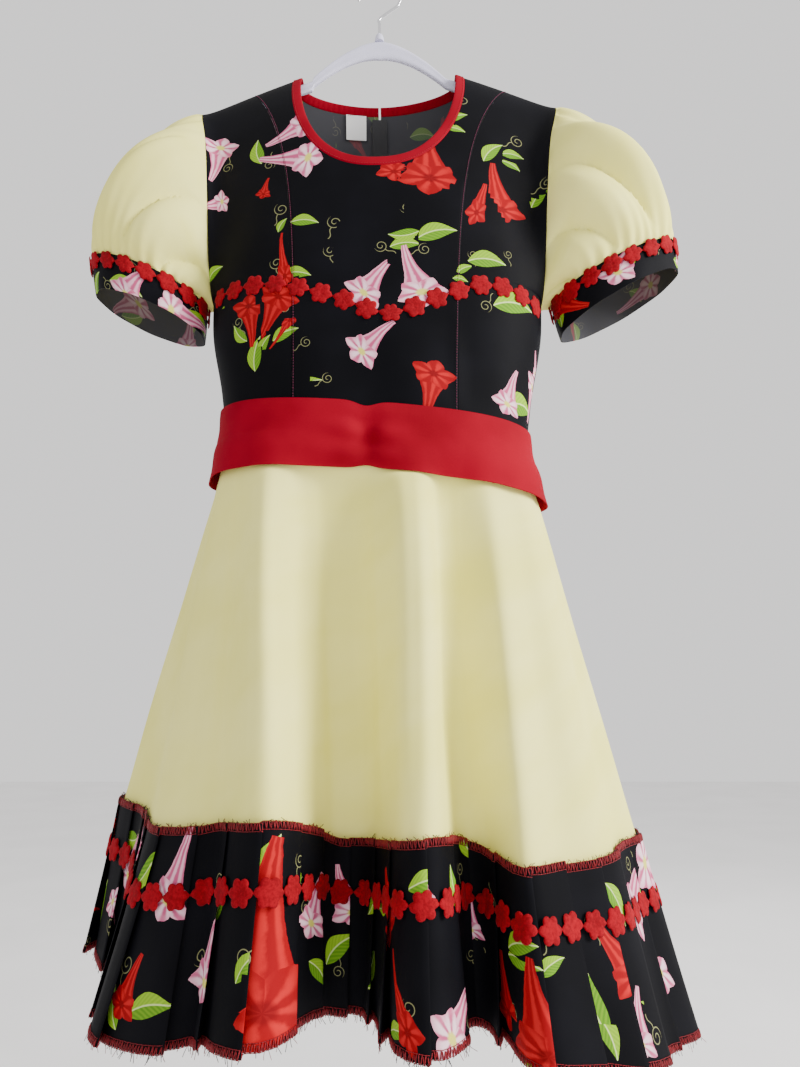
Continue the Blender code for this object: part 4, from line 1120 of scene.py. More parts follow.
FRONT_MOTIFS = {
    layer: listed(layer, table)
    for layer, table in (("flower", FRONT_FLOWERS), ("leaf", FRONT_LEAVES), ("curl", FRONT_CURLS))
}


def loose_motifs(low, high, seed, density=1.0):
    """Seeded print layers over a rectangle of cut cloth, each layer with its own seed."""
    return {
        layer: scattered(kinds, low, high, spacing / density, half, seed + order)
        for order, (layer, (kinds, spacing, half)) in enumerate(LOOSE_PRINT.items())
    }


def with_loose(tables, low, high, seed, clear):
    """Listed layers with seeded motifs where nothing is placed within a distance."""
    both = {}
    for layer, loose in loose_motifs(low, high, seed).items():
        placed = tables[layer]
        gap = np.linalg.norm(loose[:, None, :2] - placed[None, :, :2], axis=2).min(axis=1)
        both[layer] = np.concatenate([placed, loose[gap > clear]])
    return both


def front_middle_panel(thickness):
    """The middle of the front. On each side its upper rows run in straight shares from the
    neckline to the princess seam, and its lower ones from the middle to the seam; the two
    sides are merged along the middle, and solidified."""
    rows, columns, low_rows = 70, 22, 60
    share = np.linspace(0, 1, columns + 1)
    points, faces, flats = [], [], []
    for sign in (-1, 1):
        neck_x = neck_columns(rows)
        inner_z = neck_z(sign * neck_x, NECK_DROP_FRONT)
        start = shoulder_z(sign * PRINCESS_TOP)
        outer_z = start + (PRINCESS_MEETS_YOKE - start) * np.linspace(0, 1, rows + 1) ** 1.3
        outer_x = princess_x(outer_z) - SEAM_GAP / 2
        x = neck_x[:, None] + (outer_x - neck_x)[:, None] * share
        z = inner_z[:, None] + (outer_z - inner_z)[:, None] * share
        z[0] = shoulder_z(sign * x[0])
        down = np.linspace(0, 1, low_rows + 1)[1:, None]
        low_z = z[-1] + (WAIST_Z - WAIST_UNDER_SASH - z[-1]) * down
        low_x = share * (princess_x(low_z) - SEAM_GAP / 2)
        low_z = low_z + down * WAIST_TILT * sign * low_x
        x, z = sign * np.concatenate([x, low_x]), np.concatenate([z, low_z])
        grid = drape(lift(x, z, -1), x, z)
        side = grid_faces(rows + 1 + low_rows, columns + 1)
        faces.append((side if sign > 0 else side[:, ::-1]) + len(grid.reshape(-1, 3)) * (sign > 0))
        points.append(grid.reshape(-1, 3))
        flats.append(np.stack([x, z], axis=-1).reshape(-1, 2))
    points, faces, flats = np.concatenate(points), np.concatenate(faces), np.concatenate(flats)
    corners = flats[faces]
    sheets = {"cloth": corners}
    for layer, table in FRONT_MOTIFS.items():
        sheets[layer] = motif_coordinates(corners.mean(axis=1), corners, table)
    piece = place_mesh("front_middle_cloth", points, faces, both_sides("print"),
                       True, sheets)
    merge_points(piece)
    solidify(piece, thickness)
    return on_dress(piece, ["bodice_front_centre"])


def merge_points(piece):
    """Merges the points of a sheet that two grids share, and turns it to the front."""
    work = bmesh.new()
    work.from_mesh(piece.data)
    bmesh.ops.remove_doubles(work, verts=work.verts, dist=1e-5)
    bmesh.ops.recalc_face_normals(work, faces=work.faces)
    if sum(face.normal.y * face.calc_area() for face in work.faces) > 0:
        bmesh.ops.reverse_faces(work, faces=work.faces)
    work.to_mesh(piece.data)
    work.free()


def solidify(piece, thickness):
    """Gives a sheet its thickness to both sides, with the wrong side's own finish."""
    wall = piece.modifiers.new("thickness", "SOLIDIFY")
    wall.thickness = thickness
    wall.offset = 0.0
    wall.material_offset = 1
    wall.material_offset_rim = 0


def drape(points, x, z):
    """Soft troughs in the bodice: slanting ones from the bust to the waist and a few short
    ones under the arms, as moves along y of up to two millimetres."""
    side = np.sign(points[..., 1])
    below = np.clip((-0.44 - z) / 0.10, 0, 1) * np.clip((z + 0.62) / 0.05, 0, 1)
    slant = np.sin((x + 0.35 * (z + 0.50)) * 62.0) * below * 0.0016
    pull = np.sin((np.abs(x) + z * 0.8) * 55.0) * np.exp(-(((np.abs(x) - 0.155) / 0.03) ** 2)) * 0.0014
    pull = pull * np.clip((z + 0.45) / 0.05, 0, 1) * np.clip((-0.25 - z) / 0.06, 0, 1)
    fade = np.clip((half_width(z) - np.abs(x)) / 0.025, 0, 1) * np.clip((shoulder_z(x) - z) / 0.05, 0, 1)
    seam = np.clip(np.abs(np.abs(x) - princess_x(z)) / 0.010, 0, 1)
    moved = points.copy()
    moved[..., 1] += side * (slant + pull) * fade * seam
    return moved


def side_and_back_panels(thickness):
    """The front's side panels and the halves of the back: rows from the shoulder down the
    armhole and the side, columns from the inner edge to the outer."""
    right_side = both_sides("print")
    neck_x = back_neck_columns(30)
    shoulder_x = np.linspace(NECK_HALF, TIP_HALF, 24)
    for word, sign in (("left", -1), ("right", 1)):

        def back_top(x):
            inside = np.abs(x) < NECK_HALF - 1e-4
            return np.where(inside, neck_z(sign * x, NECK_DROP_BACK), shoulder_z(sign * x))

        share = np.linspace(0, 1, 30)
        x, z = panel_rows(
            lambda x: shoulder_z(sign * x), lambda z: princess_x(z) + SEAM_GAP / 2, share, 76, 44)
        z = tilt_to_waist(x * sign, z)
        grid = drape(lift(x * sign, z, -1), x * sign, z)
        flat = panel_flat(grid, x[:, :1] * sign, sign)
        piece = cloth_wall(f"front_side_cloth_{word}", grid, thickness, right_side, flat, FRONT_MOTIFS)
        on_dress(piece, [f"bodice_front_side_{word}"])

        x = np.concatenate([neck_x, shoulder_x[1:]])
        z = back_top(x)
        first = x[0]
        back_share = (x - first) / (half_width(z) - first)
        back_share[-1] = 1.0
        x, z = panel_rows(back_top, lambda z: first + 0 * z, back_share, 76, 44)
        z = tilt_to_waist(x * sign, z)
        grid = drape(lift(x * sign, z, 1), x * sign, z)
        flat = panel_flat(grid, x[:, :1] * sign, sign)
        motifs = loose_motifs((-0.25, -0.63), (0.25, -0.13), 11)
        piece = cloth_wall(f"back_cloth_{word}", grid, thickness, right_side, flat, motifs)
        on_dress(piece, [f"bodice_back_{word}"])


def panel_flat(grid, start, sign):
    """A panel's cut places: the distance along each row from its inner edge, and z."""
    steps = np.linalg.norm(np.diff(grid, axis=1), axis=2)
    along = np.concatenate([np.zeros((len(grid), 1)), np.cumsum(steps, axis=1)], axis=1)
    return np.stack([start + sign * along, grid[..., 2]], axis=-1)


def neck_route(steps):
    """The neckline from the zip round the left side to the zip again, with the cloth's
    normals: out and up at the shoulders, forward or back below."""
    half_front = neck_columns(steps)
    front_x = np.concatenate([-half_front[:-1], half_front[::-1]])
    back_x = back_neck_columns(steps)[::-1][1:]
    front = lift(front_x, neck_z(front_x, NECK_DROP_FRONT), -1)
    left = lift(-back_x[::-1], neck_z(-back_x[::-1], NECK_DROP_BACK), 1)
    right = lift(back_x, neck_z(back_x, NECK_DROP_BACK), 1)
    front[[0, -1], 1] = 0.0
    loop = np.concatenate([left, front, right])
    side = np.sign(loop[:, 1])
    fall = np.clip((shoulder_z(loop[:, 0]) - loop[:, 2]) / CHEST_FALL, 0, 1)
    cosine = 1 - fall
    depth = read_table(SECTION_Z, SECTION_DEPTH, loop[:, 2])
    normal = np.stack([
        RIDGE_FALL * np.sign(loop[:, 0]) * depth * cosine * (np.abs(loop[:, 0]) > 0.05),
        side * CHEST_FALL * np.sqrt(1 - cosine**2),
        depth * cosine,
    ], axis=-1)
    return loop, unit(normal)


def smoothed(line, times=6):
    """A line of points or directions with each inner one averaged with its neighbours."""
    for _ in range(times):
        line = np.concatenate([line[:1], (line[:-2] + 2 * line[1:-1] + line[2:]) / 4, line[-1:]])
    return line


def neck_binding():
    """The bias binding: a flattened oval carried round the neckline, its width towards the
    opening, with small puckers where the stitches pull it in."""
    sizes = bpy.context.scene.dress_sizes
    loop, normal = neck_route(110)
    normal = unit(smoothed(normal))
    tangent = np.gradient(loop, axis=0)
    inward = smoothed(np.cross(normal, tangent) / np.linalg.norm(tangent, axis=1, keepdims=True), 3)
    inward = unit(inward)
    around = circle(24)
    flat_oval = np.sign(np.cos(around)) * np.abs(np.cos(around)) ** 0.55
    thick_oval = np.sign(np.sin(around)) * np.abs(np.sin(around)) ** 0.8
    length = run_lengths(loop)
    pucker = 1 + 0.10 * np.sin(length * 2 * math.pi / 0.0065)
    half = BINDING_WIDTH / 2
    section = np.stack([
        half + 0.0003 + (half + 0.0006) * flat_oval[None, :] + 0 * length[:, None],
        0.0011 * thick_oval[None, :] * pucker[:, None],
    ], axis=-1)
    piece = carried("neck_binding_cloth", loop, inward, normal, section, [finish("red_crepe")])
    oval_places(piece, length, len(around))
    on_dress(piece, ["neck_binding"])
    route = loop + inward * (BINDING_WIDTH * 0.16) + normal * 0.0012
    stitches("neck_binding_stitches", route, normal, sizes.stitch_length, 0.0010, 0.00022,
             "red_thread")


def oval_places(piece, length, around):
    """The cloth map of a carried profile: round it and along it, in metres, by each face
    corner's own point number."""
    mesh = piece.data
    index = np.zeros(len(mesh.loops), dtype=np.int32)
    mesh.loops.foreach_get("vertex_index", index)
    layer = mesh.uv_layers.new(name="cloth")
    row = np.clip(index // around, 0, len(length) - 1)
    places = np.stack([(index % around) * 0.001, length[row]], axis=-1)
    layer.data.foreach_set("uv", places.astype(np.float32).ravel())


def stitches(name, route, normal, pitch, gap, radius, material):
    """A row of stitches on a route: each is a short six-sided spindle whose middle stands
    up from the cloth and whose ends dip into it."""
    length = run_lengths(route)
    count = max(2, int(length[-1] / pitch))
    ends = np.linspace(0, length[-1], count + 1)
    start, stop = ends[:-1] + gap / 2, ends[1:] - gap / 2
    steps = np.linspace(0, 1, 5)
    at = start[:, None] + (stop - start)[:, None] * steps
    point = sampled(route, length, at)
    up = unit(sampled(normal, length, at))
    ahead = unit(point[:, -1:] - point[:, :1])
    side = np.cross(up, np.broadcast_to(ahead, up.shape))
    swell = radius * np.array([0.45, 0.9, 1.0, 0.9, 0.45])
    rise = radius * np.array([-0.9, 0.5, 0.8, 0.5, -0.9])
    around = circle(6)
    ring = (
        point[:, :, None]
        + up[:, :, None] * (rise[None, :, None, None] + (swell[:, None] * np.sin(around))[None, ..., None])
        + side[:, :, None] * (swell[:, None] * np.cos(around))[None, ..., None]
    )
    return tubes(name, ring, material)


def tubes(name, rings, material):
    """Many short closed tubes in one mesh, from rings (tube, step, around, 3)."""
    count, steps, around, _ = rings.shape
    quads = grid_faces(steps, around, True)
    each = steps * around
    first = np.arange(count)[:, None, None] * each
    walls = (quads[None] + first).reshape(-1, 4)
    caps = [np.arange(around)[::-1], (steps - 1) * around + np.arange(around)]
    ends = np.concatenate([(cap[None] + first[:, 0]) for cap in caps])
    faces = walls.tolist() + ends.tolist()
    piece = place_mesh(name, rings.reshape(-1, 3), faces, [finish(material)])
    turn_out(piece)
    return on_dress(piece)


def topstitching():
    """The thread along both princess seams and beside the zip."""
    sizes = bpy.context.scene.dress_sizes
    for word, sign in (("left", -1), ("right", 1)):
        z = np.linspace(float(shoulder_z(sign * PRINCESS_TOP)) - 0.003, SASH_TOP[0] - 0.012, 400)
        x = sign * princess_x(z) - sign * STITCH_INSET
        stitches(f"princess_stitches_{word}", lift(x, z, -1, 0.0006), surface_normal(x, z, -1),
                 sizes.stitch_length, 0.0007, 0.00030, "seam_thread")
        z = np.linspace(-0.172, -0.590, 300)
        x = np.full_like(z, sign * 0.0075)
        stitches(f"zip_stitches_{word}", lift(x, z, 1, 0.0005), surface_normal(x, z, 1), sizes.stitch_length,
                 0.0007, 0.00022, "black_thread")


def surface_normal(x, z, side):
    """The bodice's outward normal from small steps of its own formula."""
    step = 1e-3
    across = lift(x + step, z, side) - lift(x - step, z, side)
    up = lift(x, z + step, side) - lift(x, z - step, side)
    normal = unit(np.cross(across, up))
    return normal * np.sign(normal[..., 1:2] * side)


def flower_tape(name, route, up, out, flowers, nodes):
    """A tape of flowers on a route. In each flower's own plane the outline's radius swells
    and shrinks by the cosine of half the petals' turns, the nap domes up from it and dips
    in the middle; the plane's first direction then runs along the route."""
    sizes = bpy.context.scene.dress_sizes
    draw = np.random.default_rng(len(name) + flowers)
    length = run_lengths(route)
    pitch = length[-1] / flowers
    rings, spokes, petals = 6, 36, 6
    rho = (np.arange(1, rings + 1) / rings)[:, None] ** 0.85
    theta = np.arange(spokes) * 2 * math.pi / spokes
    tilt = draw.uniform(-0.16, 0.16, flowers)[:, None]
    scale = draw.uniform(0.94, 1.04, flowers)[:, None]
    lobe = np.abs(np.cos(petals / 2 * (theta[None] + tilt))) ** 0.75
    radius = scale * sizes.flower_half * (0.70 + 0.30 * lobe)
    radius = np.maximum(radius, (pitch / 2 + 0.0004) * np.exp(-((np.sin(theta) / 0.22) ** 2))[None])
    a = rho[None] * (radius * np.cos(theta))[:, None]
    b = rho[None] * (radius * np.sin(theta))[:, None]
    thick = sizes.tape_thickness
    dome = np.sqrt(np.clip(1.02 - rho**5, 0, 1)) * (0.80 + 0.20 * lobe[:, None])
    dome = dome - 0.35 * np.exp(-((rho / 0.22) ** 2))
    top = thick * (0.15 + 0.85 * dome)
    centre_top = np.full((flowers, 1), thick * 0.55)
    low = np.zeros((flowers, spokes))
    s = (np.arange(flowers)[:, None] + 0.5) * pitch
    along = np.concatenate([s, (s[..., None] + a).reshape(flowers, -1), s + a[:, -1], s], axis=1)
    rise = np.concatenate([0 * s, b.reshape(flowers, -1), b[:, -1], 0 * s], axis=1)
    high = np.concatenate([centre_top, top.reshape(flowers, -1), low, 0 * s], axis=1)
    middle, upward, outer = (sampled(values, length, along) for values in (route, up, out))
    points = middle + upward * rise[..., None] + outer * high[..., None]
    ring = np.arange(spokes)
    after = (ring + 1) % spokes
    fan = np.stack([0 * ring, 1 + ring, 1 + after], axis=1).tolist()
    quads = (grid_faces(rings + 1, spokes, True) + 1).tolist()
    last = 1 + (rings + 1) * spokes
    under = np.stack([last + 0 * ring, last - spokes + after, last - spokes + ring], axis=1).tolist()
    each = last + 1
    one = fan + quads + under
    faces = [[i + k * each for i in face] for k in range(flowers) for face in one]
    piece = place_mesh(name, points.reshape(-1, 3), faces, [finish("red_velvet")])
    turn_out(piece, 70)
    return on_dress(piece, nodes)


def line_frame(route, above):
    """Directions up and out of a cloth at the points of a route on it, from points above."""
    tangent = unit(np.gradient(route, axis=0))
    out = unit(np.cross(tangent, above - route))
    return np.cross(out, tangent), out


def bust_tape():
    """The flowers across the bust, on a slow wave through the table's places."""
    key_x = np.array([row[1] for row in BUST_LINE]) * 0.001
    key_z = np.array([row[2] for row in BUST_LINE]) * 0.001
    x = np.linspace(key_x[0], key_x[-1], 700)
    z = read_table(-key_x, key_z, -x)
    route = drape(lift(x, z, -1), x, z)
    up, out = line_frame(route, lift(x, z + 0.004, -1))
    out *= np.sign(-out[:, 1:2])
    up *= np.sign(up[:, 2:3])
    flowers = int(run_lengths(route)[-1] / bpy.context.scene.dress_sizes.flower_pitch)
    flower_tape("bust_flowers", route + out * 0.0007, up, out, flowers, ["bodice_trim"])


def sleeve_surface(sign, cuff, turn, along):
    """A puff sleeve: Hermite curves from the armhole to the cuff's seam, leaving the
    armhole outwards and reaching the cuff along it. Broad soft folds run from the armhole
    to the cuff, and fine gathers fade out from both seams."""
    outer, inner, low_outer, low_inner = cuff
    start = armhole_loop(sign, turn)
    end = cuff_loop(sign, outer, inner, turn)
    reach = np.linalg.norm(end - start, axis=-1, keepdims=True)
    reach = reach * np.clip(reach / 0.060, 0, 1)
    over = np.clip(np.cos(turn), 0, 1)
    leave = np.stack([sign * (1.0 + 0 * turn), -1.5 * np.sin(turn), 0.10 - 0.80 * over], axis=-1)
    drop = np.array([
        sign * 0.5 * (low_outer[0] + low_inner[0] - outer[0] - inner[0]),
        0.0,
        0.5 * (low_outer[1] + low_inner[1] - outer[1] - inner[1]),
    ])
    drop = drop / np.linalg.norm(drop)
    arrive = drop + np.stack([0 * turn, 0.75 * np.sin(turn), 0 * turn], axis=-1)
    t = along[:, None, None]
    point = hermite(start, leave * reach * SLEEVE_LEAVING, end, arrive * reach * SLEEVE_ARRIVING, t)
    t = along[:, None]
    swell = np.sin(math.pi * t)
    upper = np.clip(np.cos(turn) + 0.35, 0, 1)
    lean = turn + 0.55 * np.sign(np.sin(turn)) * (t - 0.5)
    broad = TOP_FOLD * swell * upper * np.cos(7 * lean)
    ridge = np.abs(np.sin(4.5 * lean + 0.7 * sign)) ** 0.6 - 0.6
    broad = broad + SIDE_FOLD * swell**0.8 * np.clip(np.abs(np.sin(turn)) * 1.3 - 0.1, 0, 1) * ridge
    head = HEAD_GATHER * np.sin(26 * turn + 1.3 * np.sin(3 * turn)) * (1 - t) ** 4 * np.clip(t / 0.03, 0, 1)
    head = head * np.clip(np.cos(turn) + 0.75, 0, 1)
    gather = CUFF_GATHER * np.sin(34 * turn + 1.1 * np.sin(5 * turn)) * t**5 * np.clip((1 - t) / 0.03, 0, 1)
    away = np.stack([sign * 0.6 * np.cos(turn), -np.sin(turn), 0.5 * np.cos(turn)], axis=-1)
    return point + away * (broad + head + gather + SLEEVE_PUFF * swell * upper)[..., None]


def sleeves():
    """Both puff sleeves, their cuffs, and the flowers over each cuff's seam."""
    sizes = bpy.context.scene.dress_sizes
    turn = circle(240)
    along = (1 - np.cos(np.linspace(0, math.pi, 56))) / 2
    for word, sign, *cuff in SLEEVES:
        outer, inner, low_outer, low_inner = cuff
        grid = sleeve_surface(sign, cuff, turn, along)
        flat = np.stack([turn * 0.085 + 0 * along[:, None], -along[:, None] * 0.20 + 0 * turn], axis=-1)
        piece = cloth_wall(f"sleeve_cloth_{word}", grid, sizes.cloth_thickness, [finish("yellow_crepe")],
                           flat, closed=True)
        on_dress(piece, [f"sleeve_{word}"])
        top = cuff_loop(sign, outer, inner, turn)
        low = cuff_loop(sign, low_outer, low_inner, turn, CUFF_SPREAD)
        t = np.linspace(0.006, 1, 22)[:, None, None]
        wave = 0.0007 * np.sin(9 * turn + 0.6)[None, :, None] * t
        away = unit(top - top.mean(axis=0))
        grid = top + (low - top) * t + away * (wave + 0.0010 * np.sin(math.pi * t))
        ring = run_lengths(top)
        flat = np.stack([ring + 0 * t[..., 0], -t[..., 0] * 0.044 + 0 * ring], axis=-1)
        motifs = loose_motifs((0.0, -0.05), (ring[-1], 0.0), 31 + sign, 1.15)
        piece = cloth_wall(f"cuff_cloth_{word}", grid, sizes.cloth_thickness * 1.5,
                           both_sides("print"), flat, motifs, closed=True)
        on_dress(piece, [f"cuff_{word}"])
        sleeve_flowers(word, sign, cuff)


def sleeve_flowers(word, sign, cuff):
    """The flowers just under the seam of a sleeve and its cuff, from the inner side round."""
    outer, inner, low_outer, low_inner = cuff
    turn = np.linspace(math.pi, 3 * math.pi, 500)
    top = cuff_loop(sign, outer, inner, turn)
    low = cuff_loop(sign, low_outer, low_inner, turn, CUFF_SPREAD)
    up = unit(top - low)
    out = unit(np.cross(np.gradient(top, axis=0), up) * -sign)
    route = top - up * SLEEVE_TAPE_DROP * 0.75 + out * 0.0028
    flowers = int(run_lengths(route)[-1] / bpy.context.scene.dress_sizes.flower_pitch)
    flower_tape(f"cuff_flowers_{word}", route, up, out, flowers, [f"sleeve_trim_{word}"])


def sash():
    """The sash in a front and a back: rings round the waist, standing off more at the lower
    sides, drawn together at the front's middle with short level folds that fade out."""
    sizes = bpy.context.scene.dress_sizes
    for word, start in (("front", -90), ("back", 90)):
        angle = np.radians(np.linspace(start + 0.15, start + 179.85, 260))
        x = read_table(SECTION_Z, SECTION_WIDTH, WAIST_Z) * np.sin(angle)
        top = SASH_TOP[0] + SASH_TOP[1] * x
        low = SASH_LOW[0] + SASH_LOW[1] * x + SASH_LOW[2] * x * x
        rows = []
        from_pinch = x - SASH_PINCH_X
        front = 1.0 if word == "front" else 0.0
        for step in np.linspace(0, 1, 30):
            ring = body_ring(angle, top + (low - top) * step)
            tangent = np.gradient(ring, axis=0)
            out = unit(np.stack([tangent[:, 1], -tangent[:, 0], 0 * x], axis=-1))
            pinch = front * np.exp(-((from_pinch / 0.012) ** 2))
            near = front * np.exp(-((from_pinch / 0.034) ** 2)) * (1 - 0.6 * pinch)
            swell = math.sin(math.pi * step)
            folds = 0.0024 * near * math.sin(2 * math.pi * 2.6 * step + 0.6) * swell
            drag = 0.0011 * np.sin(9 * step + 16 * x * np.sign(from_pinch)) * (1 - near) * swell
            away = SASH_OFFSET + SASH_SPREAD * step**2 * np.sin(angle) ** 2
            away = away + 0.004 * swell * (1 - pinch) + folds + drag
            away = away - 0.0012 * pinch * swell
            row = ring + out * away[:, None]
            row[:, 2] += 0.008 * pinch * (step - 0.62)
            rows.append(row)
        grid = np.stack(rows)
        length = run_lengths(grid[15])
        down = -np.linspace(0, 0.075, 30)[:, None]
        flat = np.stack([length + 0 * down, down + 0 * length], axis=-1)
        piece = cloth_wall(f"sash_{word}", grid, sizes.cloth_thickness * 1.8, [finish("red_crepe")], flat)
        on_dress(piece, [f"belt_{word}"])


def fold_depth(u):
    """How far the seam's folds stand out from the ring's own mean line, which is each point's
    average with its neighbours over four folds to both sides. It fades to nothing at the
    dress's sides, so that their outline stays straight."""
    seam = skirt_point(u, np.ones_like(u))
    around = np.linspace(-4.0, 4.0, 81)
    near = skirt_point(u[:, None] + around, np.ones((len(u), len(around))))
    weight = np.cos(around * math.pi / 8.0)[:, None]
    mean = (near * weight).sum(axis=1) / weight.sum()
    out = unit(mean * (1.0, 1.0, 0.0))
    return ((seam - mean) * out).sum(axis=1) * np.abs(out[:, 1]), out


def skirt():
    """The flared skirt: lines from the waist to the seam on which the folds already open
    just under the sash, as the root of the height, with small folds added between them."""
    sizes = bpy.context.scene.dress_sizes
    last = len(FOLDS)
    parts = (
        ("front", LEFT_SEAM_FOLD, RIGHT_SEAM_FOLD, "skirt_front", 320),
        ("back_right", RIGHT_SEAM_FOLD, last, "skirt_back_right", 124),
        ("back_left", 0, LEFT_SEAM_FOLD, "skirt_back_left", 124),
    )
    levels = np.concatenate([[0.0], np.linspace(0.02, 1.008, 54)])
    for word, first, end, node, columns in parts:
        u = np.linspace(first + SIDE_SEAM_GAP, end - SIDE_SEAM_GAP * (end < last), columns)
        grid = np.stack([skirt_point(u, np.full_like(u, level)) for level in levels])
        small = (0.0016 * np.sin(u * 2.9 + 0.8) + 0.0010 * np.sin(u * 6.7 + 2.0)) * np.sin(u * 0.9)
        soft = (levels**0.7 * (1 - levels**6))[:, None] * small
        low = 0.0012 * np.sin(levels * 11.0)[:, None] * np.sin(u * 1.7) * levels[:, None]
        soft = soft + low * (1 - levels[:, None] ** 8)
        grid = grid + outward(u, np.full_like(u, 0.9), skirt_point) * soft[..., None]
        depth, out = fold_depth(u)
        below = np.clip((levels - 0.10) / 0.90, 0, 1)
        grid = grid + out * (FOLDS_OPEN_EARLY * (below**0.5 - below)[:, None] * depth)[..., None]
        across = run_lengths(grid[-1])
        drop = run_lengths(grid[:, columns // 2])
        spread = (0.35 + 0.65 * levels)[:, None]
        flat = np.stack([across * spread, -drop[:, None] + 0 * across], axis=-1)
        piece = cloth_wall(f"skirt_cloth_{word}", grid, sizes.cloth_thickness, [finish("yellow_crepe")], flat)
        on_dress(piece, [node])


PLEAT_PLACES = (0.0, 0.2, 0.45, 0.7, 0.9, 0.985, 1.0, 0.985, 0.9, 0.75, 0.6, 0.48, 0.45, 0.48, 0.6, 0.75, 0.9)
PLEAT_LAYERS = (0.0, 0.4, 0.9, 1.4, 1.8, 1.97, 1.86, 1.74, 1.42, 0.88, 0.34, -0.08, -0.28, -0.48, -0.36,
                -0.20, -0.08)


def valley_calm(u, level):
    """How freely pleats may stand out: less inside a tight valley, by the ring's hollow
    curvature there."""
    step = 0.06
    down = np.full_like(u, level)
    here = flounce_point(u, down)
    ahead, behind = flounce_point(u + step, down), flounce_point(u - step, down)
    span = np.linalg.norm(ahead - behind, axis=-1) / 2
    bend = (ahead + behind - 2 * here) * outward(u, down, flounce_point)
    hollow = np.clip(bend.sum(axis=-1), 0, None) / span**2
    return 1 / (1 + (hollow * VALLEY_CALM) ** 2)


def flounce_grid(first, end, pleats, levels, seed):
    """Knife pleats: each runs up to its edge, back under itself and forward again, in three
    layers that lie close at the heading and open towards the hem. Returns the grid and
    each column's place in the flat cloth."""
    sizes = bpy.context.scene.dress_sizes
    fine = np.linspace(first, end, 3000)
    along = run_lengths(flounce_point(fine, np.zeros_like(fine)))
    pitch = along[-1] / pleats
    keys = np.array([PLEAT_PLACES, PLEAT_LAYERS]).T
    draw = np.random.default_rng(seed)
    lift_by = np.repeat(draw.uniform(-1, 1, pleats + 1), len(keys))[:pleats * len(keys) + 1]
    size_by = np.repeat(draw.uniform(0.75, 1.2, pleats + 1), len(keys))[:pleats * len(keys) + 1]
    number = np.repeat(np.arange(pleats + 1), len(keys))[:pleats * len(keys) + 1]
    keys = np.tile(keys, (pleats + 1, 1))[:len(number)]
    back = keys[:, 0] - 1
    under = np.isin(np.arange(len(number)) % len(PLEAT_PLACES), np.arange(7, len(PLEAT_PLACES)))
    rows = []
    for level in levels:
        opening = np.clip(level, 0, 1)
        closing = 1 - 0.45 * opening
        place = np.where(under, 1 + back * closing, keys[:, 0])
        u = np.interp(np.clip((number + place) * pitch, 0, along[-1]), along, fine)
        calm = valley_calm(u, max(level, 0.0))
        layer = sizes.pleat_layer + (sizes.pleat_open * size_by - sizes.pleat_layer) * opening**1.3 * calm
        own = level + lift_by * (0.012 * (level < 0) + 0.006 * (level > 0.97)) + 0.010 * under * (level < 0)
        out = outward(u, own, flounce_point)
        rows.append(flounce_point(u, own) + out * (sizes.flounce_offset + keys[:, 1] * layer)[:, None])
    grid = np.stack(rows)
    steps = np.linalg.norm(np.diff(grid, axis=1), axis=2).mean(axis=0)
    return grid, np.concatenate([[0], np.cumsum(steps)])


FLOUNCE_LEVELS = np.concatenate([[HEADING_LEVEL, HEADING_LEVEL * 0.5, 0.0], np.linspace(0.05, 1.0, 22)])


def flounce_motifs(grid, along):
    """The flounce's listed motifs: each is moved to the cut cloth's place that shows
    in front at its x and level, the column nearest to it among the outermost ones."""
    tables = {}
    face = np.arange(grid.shape[1]) % len(PLEAT_PLACES) < 6
    for layer, table in (("flower", FLOUNCE_FLOWERS), ("leaf", FLOUNCE_LEAVES), ("curl", FLOUNCE_CURLS)):
        rows = []
        for *kind, x, level, half, turn in table:
            row = int(np.abs(FLOUNCE_LEVELS - level).argmin())
            miss = np.abs(grid[row, :, 0] - x * 0.001) + (~face) + (grid[row, :, 1] > 0.02)
            code = MOTIF_CODES[kind[0] if kind else layer]
            rows.append((along[miss.argmin()], -level * FLOUNCE_DEPTH, half * 0.001, turn, code))
        tables[layer] = np.array(rows, dtype=float)
    return tables


def flounce():
    """The pleated flounce in a front and a back, each with its flowers and its edges."""
    sizes = bpy.context.scene.dress_sizes
    last = len(FOLDS)
    parts = (
        ("front", LEFT_SEAM_FOLD, RIGHT_SEAM_FOLD, sizes.pleats_front, "skirt_cloth_front"),
        ("back", RIGHT_SEAM_FOLD, last + LEFT_SEAM_FOLD, sizes.pleats_back, "skirt_cloth_back_left"),
    )
    for word, first, end, pleats, skirt_above in parts:
        first, end = first + SIDE_SEAM_GAP, end - SIDE_SEAM_GAP
        grid, along = flounce_grid(first, end, pleats, FLOUNCE_LEVELS, 5 + pleats)
        depth = -FLOUNCE_LEVELS[:, None] * FLOUNCE_DEPTH
        flat = np.stack([along + 0 * depth, depth + 0 * along], axis=-1)
        low, high = (0.0, -FLOUNCE_DEPTH), (along[-1], 0.01)
        if word == "front":
            motifs = with_loose(flounce_motifs(grid, along), low, high, 47, 0.100)
        else:
            motifs = loose_motifs(low, high, 53)
        piece = cloth_wall(f"flounce_cloth_{word}", grid, sizes.cloth_thickness,
                           both_sides("print"), flat, motifs)
        on_dress(piece, [f"flounce_{word}"])
        flounce_flowers(word, first, end)
        for edge, row, inner_row in (("heading", 0, 2), ("hem", -1, -2)):
            edge_threads(f"{edge}_threads_{word}", grid, row, inner_row, 61 + pleats + row)


